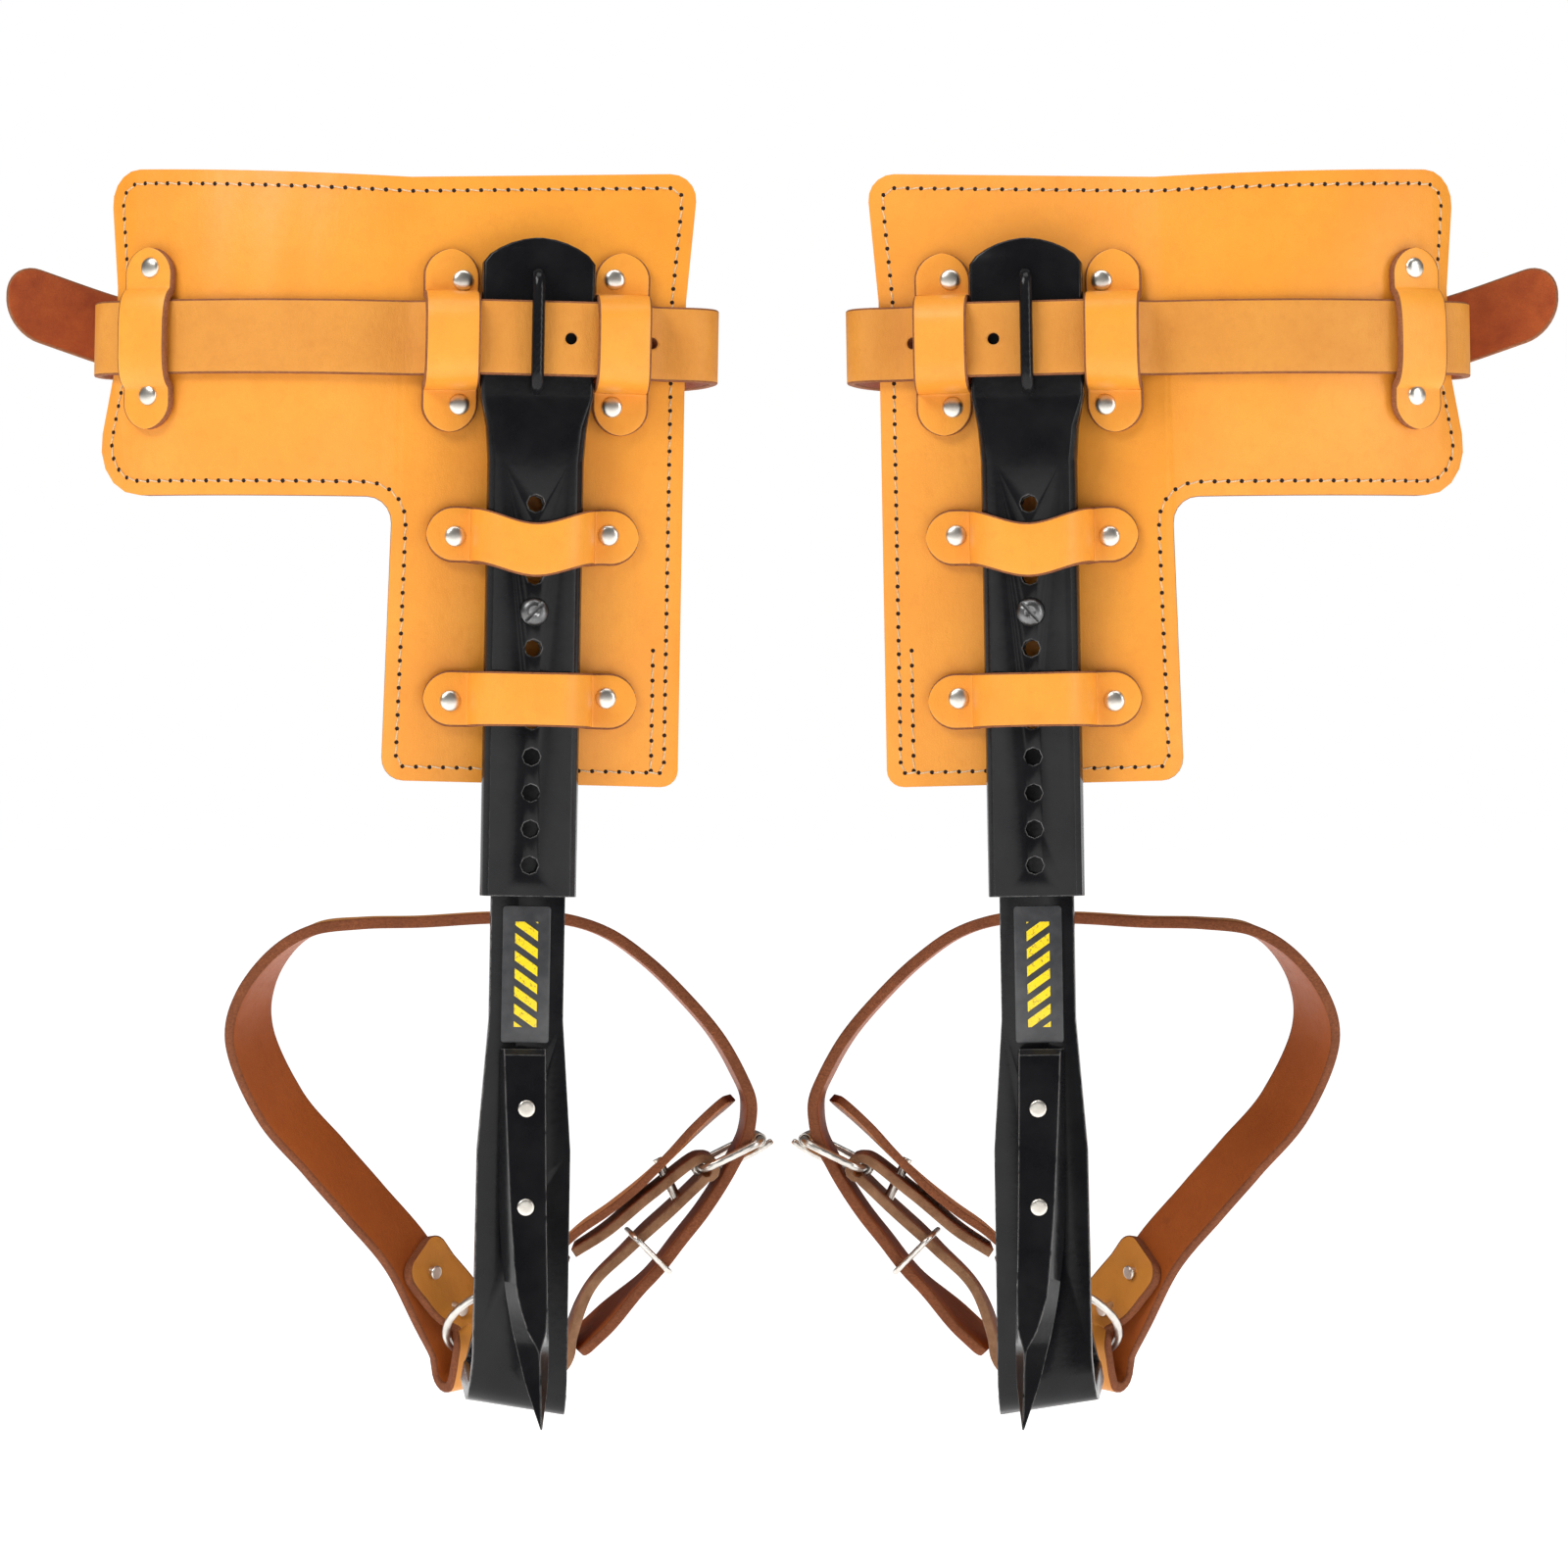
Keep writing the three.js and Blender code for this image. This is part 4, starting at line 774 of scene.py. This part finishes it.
# ---- calf strap -------------------------------------------------------------------------------------
BUCKLE_BAR = (-118, 80)


def span(start, end, step):
    count = max(1, round(abs(end - start) / step))
    return [start + (end - start) * i / count for i in range(count + 1)]


def calf_path():
    wrap = 1.75 + GAP + LEATHER / 2
    turns = [math.radians(a) for a in span(90, -90, 30)]
    folded = [(BUCKLE_BAR[0] + wrap * math.cos(a), BUCKLE_BAR[1] + wrap * math.sin(a)) for a in turns]
    on_wing = [tuple(on_pad(x, 0, -(GAP + LEATHER / 2))[0][:2]) for x in span(-151, WING_START, 12)]
    front = [(u, strap_depth(u)) for u in span(-44, 56, 4)]
    points = [(-143, 80.4), (-130, 82.6), *folded, (-130, 76.4), (-141, 75.8), (-150, 71.5), (-153.4, 64.5),
              (-153.6, 57), (-151.2, 49.4), *on_wing, *front, (61.5, 12), (64, 18), (64, 30), (60, 50),
              (44, 78), (10, 99), (-30, 104), (-70, 95), (-97, 83.2), (-108, 85.4), (-118, 87.4),
              (-132, 86.6), (-146, 84.4), (-168, 79), (-187, 73.2)]
    return Curve([Vector((x, y, 0)) for x, y in points])


def nearest(curve, target):
    spots = [(catmull(curve.points, t) - Vector((*target, 0))).length for t in curve.t]
    return curve.s[spots.index(min(spots))]


def bored(obj, pegs):
    """cuts pegs, as (from, to, radius) in metres, out of a piece"""
    parts = []
    for start, end, radius in pegs:
        axis = end - start
        turn = axis.to_track_quat("Z", "Y").to_matrix().to_4x4()
        profile = [(0, 0), (radius, 0), (radius, axis.length), (0, axis.length)]
        parts.append(lathe(profile, Matrix.Translation(start) @ turn, 16))
    cutter_mesh = bpy.data.meshes.new("cutter")
    verts, faces = [], []
    for part_verts, part_faces in parts:
        base = len(verts)
        verts += [tuple(v) for v in part_verts]
        faces += [tuple(base + i for i in f) for f in part_faces]
    cutter_mesh.from_pydata(verts, [], faces)
    bm = bmesh.new()
    bm.from_mesh(cutter_mesh)
    bmesh.ops.recalc_face_normals(bm, faces=bm.faces)
    bm.to_mesh(cutter_mesh)
    bm.free()
    cutter_mesh.materials.append(obj.data.materials[0])
    cutter_mesh.materials.append(obj.data.materials[1])
    for polygon in cutter_mesh.polygons:
        polygon.material_index = 1
    cutter = bpy.data.objects.new("cutter", cutter_mesh)
    bpy.context.collection.objects.link(cutter)
    modifier(obj, "BOOLEAN", "bore", operation="DIFFERENCE", object=cutter, solver="EXACT")
    bpy.context.view_layer.update()
    made = bpy.data.meshes.new_from_object(obj.evaluated_get(bpy.context.evaluated_depsgraph_get()))
    obj.modifiers.clear()
    obj.data = made
    bpy.data.objects.remove(cutter)


STRAP_HOLE_PITCH, LAST_HOLE = 33.4, 16


def calf_strap(side):
    curve = calf_path()
    place_world = world(side)

    def raw(s, c, d):
        p, along, _ = curve.at(s)
        lift = 20 * ease((s - (curve.long - 72)) / 100)
        return Vector((p.x - along.y * d, p.y + along.x * d, STRAP_HEIGHT + c + lift))

    rows = rows_along(curve.long, STRAP_WIDTH / 2, 2.4, 3.0, 12.0)
    obj = ribbon(f"{side}_calf_strap_finished", rows, lambda s, c, d: place_world @ raw(s, c, d), LEATHER,
                 (FLESH, EDGE, STRAP), f"{side}_upper", crown=0.2)
    first = nearest(curve, (11.3, STRAP_OVER))
    at_prong = nearest(curve, (-109.5, 85.8))
    pegs = []
    s = first
    while s < curve.long - LAST_HOLE:
        if abs(s - at_prong) > 14:
            pegs.append((place_world @ raw(s, 0, -5), place_world @ raw(s, 0, 5), 2.1 * MM))
        s += STRAP_HOLE_PITCH
    bored(obj, pegs)
    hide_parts(f"{side}_calf_strap")


# ---- foot strap, chape and guard ---------------------------------------------------------------------
LOOP_LEAN = math.radians(16)
FULL_TURN = math.radians(42)
LOOP_ORIGIN = Vector((1.7, 137, 0))
LOOP_UP = Vector((0, -math.sin(LOOP_LEAN), math.cos(LOOP_LEAN)))
LOOP_BACK = Vector((0, math.cos(LOOP_LEAN), math.sin(LOOP_LEAN)))
FOOT_BAR, FOOT_ROLLER = (72, 76.1), (92.8, 87.2)


def loop_vector(q):
    return Vector((q.x, 0, 0)) + LOOP_UP * q.y + LOOP_BACK * q.z


def in_loop(x, y, z=0):
    return LOOP_ORIGIN + loop_vector(Vector((x, y, z)))


class LoopBand:
    """a band whose middle runs through points [x, y, z, angle] in the foot strap's plane"""

    def __init__(self, points):
        self.curve = Curve([Vector(p[:3]) for p in points])
        self.angles = [Vector((i, p[3], 0)) for i, p in enumerate(points)]

    def station(self, s):
        p, along, t = self.curve.at(s)
        turn = math.radians(catmull(self.angles, t).y)
        level = LOOP_LEAN * ease((p.y - 14) / 18) * (1 - ease(turn / FULL_TURN))
        across = Vector((math.sin(turn), -math.sin(level) * math.cos(turn), math.cos(level) * math.cos(turn)))
        across = (across - along * across.dot(along)).normalized()
        return in_loop(*p), loop_vector(across), loop_vector(along.cross(across).normalized()), p.y

    def place(self, side, wave=0.0):
        matrix = world(side)

        def at(s, c, d):
            p, across, normal, _ = self.station(s)
            sway = wave * math.sin(s / 9.0 + c / 14) * math.sin(s / 23.0)
            return matrix @ (p + across * c + normal * (d + sway))

        return at


FOOT_STRAP_PATH = [
    (-32.2, 42, -1.6, 42), (-24.9, 31, 0, 44), (-16.4, 21, 0.6, 50),
    (-8.5, 15, -2.2, 54), (-7, 9, -7, 58), (-7.6, 3, -8.5, 60), (-8.4, -2.6, -8.5, 60),
    (-9.3, -7, -6.9, 60), (-11.5, -8.8, -3.1, 60), (-13.7, -7, 0.7, 60), (-14.6, -2.6, 2.3, 60),
    (-16.1, 4, 2.7, 58), (-23.8, 18, 1, 50), (-36.9, 41.2, 0, 42), (-53, 60.5, 0, 42),
    (-68, 77.9, 0, 42), (-84.7, 97.9, 0, 42), (-96.7, 126.2, 0, 38), (-94.4, 142.9, 0, 30),
    (-84.7, 158.4, 0, 20), (-73.5, 166.1, 0, 12), (-56.4, 168.7, 0, 5), (-34.9, 169.6, 0, 0),
    (-8, 171.6, 0, 0), (17.8, 171.4, 0, 0), (33, 166.6, 0, 0), (48, 156.2, 0, 0),
    (62.3, 142.6, 0, 0), (75.3, 127.5, 0, 0), (83.9, 113.2, 0, 0), (88, 103.6, 0, 0),
    (88.6, 96, 0, 0), (87.4, 88, 0, 0), (83.5, 78.5, 0, 0), (78.6, 68.6, 0, 0), (72.5, 58.2, 0, 0),
    (65, 47.4, 0, 0), (56.8, 35.6, 0, 0), (44, 21, 0, 0), (28.8, 5, 0, 0)]
GUARD_PATH = [(20.5, 43.5, 0, 8), (28.5, 51.5, 0, 8), (38.5, 59.2, 0, 8), (50.5, 69.8, 0, 8),
              (63, 83.5, 0, 12), (71, 92.5, 0, 18), (81.5, 103, 0, 24)]


def foot_strap(side):
    band = LoopBand(FOOT_STRAP_PATH)
    rows = rows_along(band.curve.long, 12.5, 1.8, 6.0, 5.0)
    obj = ribbon(f"{side}_foot_strap_finished", rows, band.place(side), 4.0, (FOOT, FOOT_EDGE, FOOT_OUT),
                 f"{side}_foot_strap_set", corner=0.9, crown=0.25)
    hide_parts(f"{side}_foot_strap")


def guard(side):
    band = LoopBand(GUARD_PATH)
    rows = rows_along(band.curve.long, 17.0, 1.6, 8.0, 10.0)
    obj = ribbon(f"{side}_buckle_guard_finished", rows, band.place(side, 0.12), LEATHER, (GUARD, FOOT_EDGE),
                 f"{side}_foot_strap_set", crown=0.2)
    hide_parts(f"{side}_buckle_guard")


def buckle_axes():
    rise = (FOOT_ROLLER[1] - FOOT_BAR[1]) * math.cos(LOOP_LEAN)
    x = Vector((FOOT_ROLLER[0] - FOOT_BAR[0], 0, rise)).normalized()
    return x, Vector((x.z, 0, -x.x))


def chape_path():
    x, y = buckle_axes()
    wrap = 1.5 + GAP + 1.7 + 0.15

    def bar(degrees):
        out, on = wrap * math.cos(math.radians(degrees)), wrap * math.sin(math.radians(degrees))
        rise = (y.z * out + x.z * on) / math.cos(LOOP_LEAN)
        return (FOOT_BAR[0] + y.x * out + x.x * on, FOOT_BAR[1] + rise)

    points = [(26.5, 43.2), (38.6, 51.8), (54, 66.2), *(bar(a) for a in (180, 135, 90, 45, 0)), (57.4, 55.8),
              (45.6, 43.8), (34.8, 32.8), (28.8, 22), (25.6, 12), (25, 5), (22.6, 0), (18.6, -1.8), (14.6, 0),
              (12.4, 5), (12.4, 14), (12.3, 22), (14.6, 29.4), (19.4, 36.2), (23.2, 40)]
    return [(px, py, 0, 0) for px, py in points]


CHAPE_FRONT, CHAPE_BACK, RING_PART_BACK = -12.2, 12.5, 0.4
CHAPE_HALF = (CHAPE_BACK - CHAPE_FRONT) / 2


def chape(side):
    """the folded strap, narrowed where it goes round the ring"""
    band = LoopBand(chape_path())
    matrix = world(side)

    def place(s, c, d):
        p, across, normal, y = band.station(s)
        rear = RING_PART_BACK + (CHAPE_BACK - RING_PART_BACK) * ease((y - 32) / 20)
        z = CHAPE_FRONT + (c / CHAPE_HALF + 1) / 2 * (rear - CHAPE_FRONT)
        return matrix @ (p + across * z + normal * (d * 1.04 + 0.1 * math.sin(s / 5.0)))

    rows = [(s, CHAPE_HALF) for s in span(0, band.curve.long, 1.5)]
    obj = ribbon(f"{side}_foot_chape_finished", rows, place, 3.4, (CHAPE, SUEDE), f"{side}_foot_strap_set",
                 corner=0.6, crown=0.1)
    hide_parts(f"{side}_foot_chape")


# ---- gaff -------------------------------------------------------------------------------------------
SHANK_FRONT, GAFF_FLAT_ABOVE = -3.475, 66
# height, front left and right, back left and right, front depth, back depth
GAFF_ROWS = [(121, -8, 6.6, -9, 7.2, -9, -3.475), (119, -8, 6.6, -9.3, 7.3, -11.5, -3.475),
             (100, -7.2, 6.8, -9.2, 7.7, -14, -3.475), (66, -5.4, 7.3, -8.8, 8.2, -18.5, -3.475),
             (50, -4.2, 7.5, -7.8, 8.3, -22.5, -6), (36, -2.9, 7.6, -6.4, 8.4, -28, -13),
             (24, 0.6, 7, -4.4, 8.4, -33.5, -21), (17, 4.2, 5, -2.8, 8.2, -36.6, -26),
             (6, 4.6, 5, -0.2, 7.6, -41, -34), (-8.8, 4.9, 5.2, 4.7, 5.4, -46.2, -45.4)]


def eased(before, a, b, after, j, t):
    """column j between rows a and b, three parts smooth curve to one part straight line"""
    high = b[0] - a[0]
    m0 = (b[j] - before[j]) / (b[0] - before[0]) * high
    m1 = (after[j] - a[j]) / (after[0] - a[0]) * high
    smooth = ((2 * t ** 3 - 3 * t ** 2 + 1) * a[j] + (t ** 3 - 2 * t ** 2 + t) * m0
              + (3 * t ** 2 - 2 * t ** 3) * b[j] + (t ** 3 - t ** 2) * m1)
    return smooth * 0.75 + (a[j] + (b[j] - a[j]) * t) * 0.25


def gaff_rows():
    """the rows, with more between them"""
    fine = []
    for i, (a, b) in enumerate(zip(GAFF_ROWS, GAFF_ROWS[1:])):
        steps = max(1, round((a[0] - b[0]) / 2.0))
        before, after = GAFF_ROWS[max(i - 1, 0)], GAFF_ROWS[min(i + 2, len(GAFF_ROWS) - 1)]
        for k in range(steps):
            t = k / steps
            row = [x + (y - x) * t for x, y in zip(a, b)]
            if i > 0:
                row[1:] = [eased(before, a, b, after, j, t) for j in range(1, len(row))]
            fine.append(row)
    return fine + [GAFF_ROWS[-1]]


def gaff(side):
    matrix = world(side)
    fine = gaff_rows()
    verts = []
    for w, fl, fr, bl, br, front, back in fine:
        side_v = (front + 2 * back) / 3
        if w > GAFF_FLAT_ABOVE:
            back = SHANK_FRONT
        ring = ((fl, front, w), (fr, front, w), (br, side_v, w), (br - 0.3, back, w), (bl + 0.3, back, w),
                (bl, side_v, w))
        verts += [matrix @ Vector(p) for p in ring]
    n = len(ring)
    faces = [tuple(i * n + k for k in (j, (j + 1) % n, n + (j + 1) % n, n + j))
             for i in range(len(fine) - 1) for j in range(n)]
    faces += [tuple(range(n)), tuple(range((len(fine) - 1) * n, len(fine) * n))]
    slots = [0] * len(faces)
    obj = from_faces(f"{side}_gaff_finished", verts, faces, slots, (BLACK_GAFF,), f"{side}_climber")
    round_edges(obj, 0.35, 24, 2)
    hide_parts(f"{side}_gaff")


# ---- dressing both spurs --------------------------------------------------------------------------
for side in SIDES:
    dress(f"{side}_pad_outer", PAD, EDGE, 3.0, 0.55)
    dress(f"{side}_pad_lining", PAD_LINING, EDGE, 3.0, 0.55)
    loops(side)
    calf_strap(side)
    foot_strap(side)
    chape(side)
    guard(side)
    gaff(side)
    dress(f"{side}_shank", BLACK, BLACK_GAFF, 6.35, 0.8)
    finish_node(f"{side}_sleeve", BLACK, 0.5, 30)
    finish_node(f"{side}_strap_bar", BLACK, levels=2, grow=0.15)
    finish_node(f"{side}_adjust_screw", SCREW, 0.15, 50)
    finish_node(f"{side}_adjust_nut", NICKEL, 0.4, 40)
    finish_node(f"{side}_label", label_mat(side), 0.12, 50)
    for wire in ("calf_buckle_frame", "calf_buckle_prong", "foot_ring", "foot_buckle_frame",
                 "foot_buckle_prong", "keeper_loop"):
        finish_node(f"{side}_{wire}", NICKEL, levels=2, grow=0.05 if wire == "foot_ring" else 0.22)
    for turned in ("gaff_rivet_lower", "gaff_rivet_upper", "foot_strap_rivet_upper", "foot_strap_rivet_lower",
                   "chape_rivet"):
        finish_node(f"{side}_{turned}", RIVET, 0.2, 50, levels=2)
    finish_node(f"{side}_foot_buckle_roller", NICKEL, 0.25, 50, levels=1)
    pad_stitching(side)
    pad_rivets(side)

# ---- floor and light --------------------------------------------------------------------------------
FLOOR = -0.13


def pale_floor():
    """a wide flat floor, open on all sides"""
    half = 30.0
    verts = [(-half, -half, FLOOR), (half, -half, FLOOR), (half, half, FLOOR), (-half, half, FLOOR)]
    mesh = bpy.data.meshes.new("floor")
    mesh.from_pydata(verts, [], [(0, 1, 2, 3)])
    m = Nodes("pale_floor", rough=0.9, Specular_IOR_Level=0.1)
    pale = m.mix(m.ramp(m.noise(3, 2), ((0.3, 0), (0.7, 1))), (0.93, 0.93, 0.93), (0.95, 0.95, 0.95))
    m.colour(pale)
    m.tree.links.new(pale, m.bsdf.inputs["Emission Color"])
    m.bsdf.inputs["Emission Strength"].default_value = 1.06
    mesh.materials.append(m.mat)
    obj = bpy.data.objects.new("floor", mesh)
    bpy.context.collection.objects.link(obj)


def area_light(name, place, target, size, power, tint=(1, 1, 1)):
    data = bpy.data.lights.new(name, "AREA")
    data.shape = "RECTANGLE"
    data.size, data.size_y = size
    data.energy = power
    data.color = tint
    obj = bpy.data.objects.new(name, data)
    bpy.context.collection.objects.link(obj)
    obj.location = place
    obj.rotation_euler = (Vector(target) - Vector(place)).to_track_quat("-Z", "Y").to_euler()


pale_floor()
AIM = (0, 0, 0.2)
area_light("key", (-1.5, -1.5, 1.9), AIM, (1.3, 0.9), 36)
area_light("fill", (2.0, -1.2, 0.7), AIM, (0.8, 1.6), 15)
area_light("top", (0, -0.5, 2.3), AIM, (2.2, 1.0), 19)
world_data = bpy.data.worlds.new("studio")
world_data.use_nodes = True
sky = world_data.node_tree
dim = sky.nodes["Background"]
dim.inputs[0].default_value = (1, 1, 1, 1)
dim.inputs[1].default_value = 0.12
bright = sky.nodes.new("ShaderNodeBackground")
bright.inputs[0].default_value = (1, 1, 1, 1)
bright.inputs[1].default_value = 1.0
seen = sky.nodes.new("ShaderNodeLightPath")
either = sky.nodes.new("ShaderNodeMixShader")
sky.links.new(seen.outputs["Is Camera Ray"], either.inputs[0])
sky.links.new(dim.outputs[0], either.inputs[1])
sky.links.new(bright.outputs[0], either.inputs[2])
sky.links.new(either.outputs[0], sky.nodes["World Output"].inputs["Surface"])
bpy.context.scene.world = world_data
bpy.context.scene.view_settings.view_transform = "Standard"
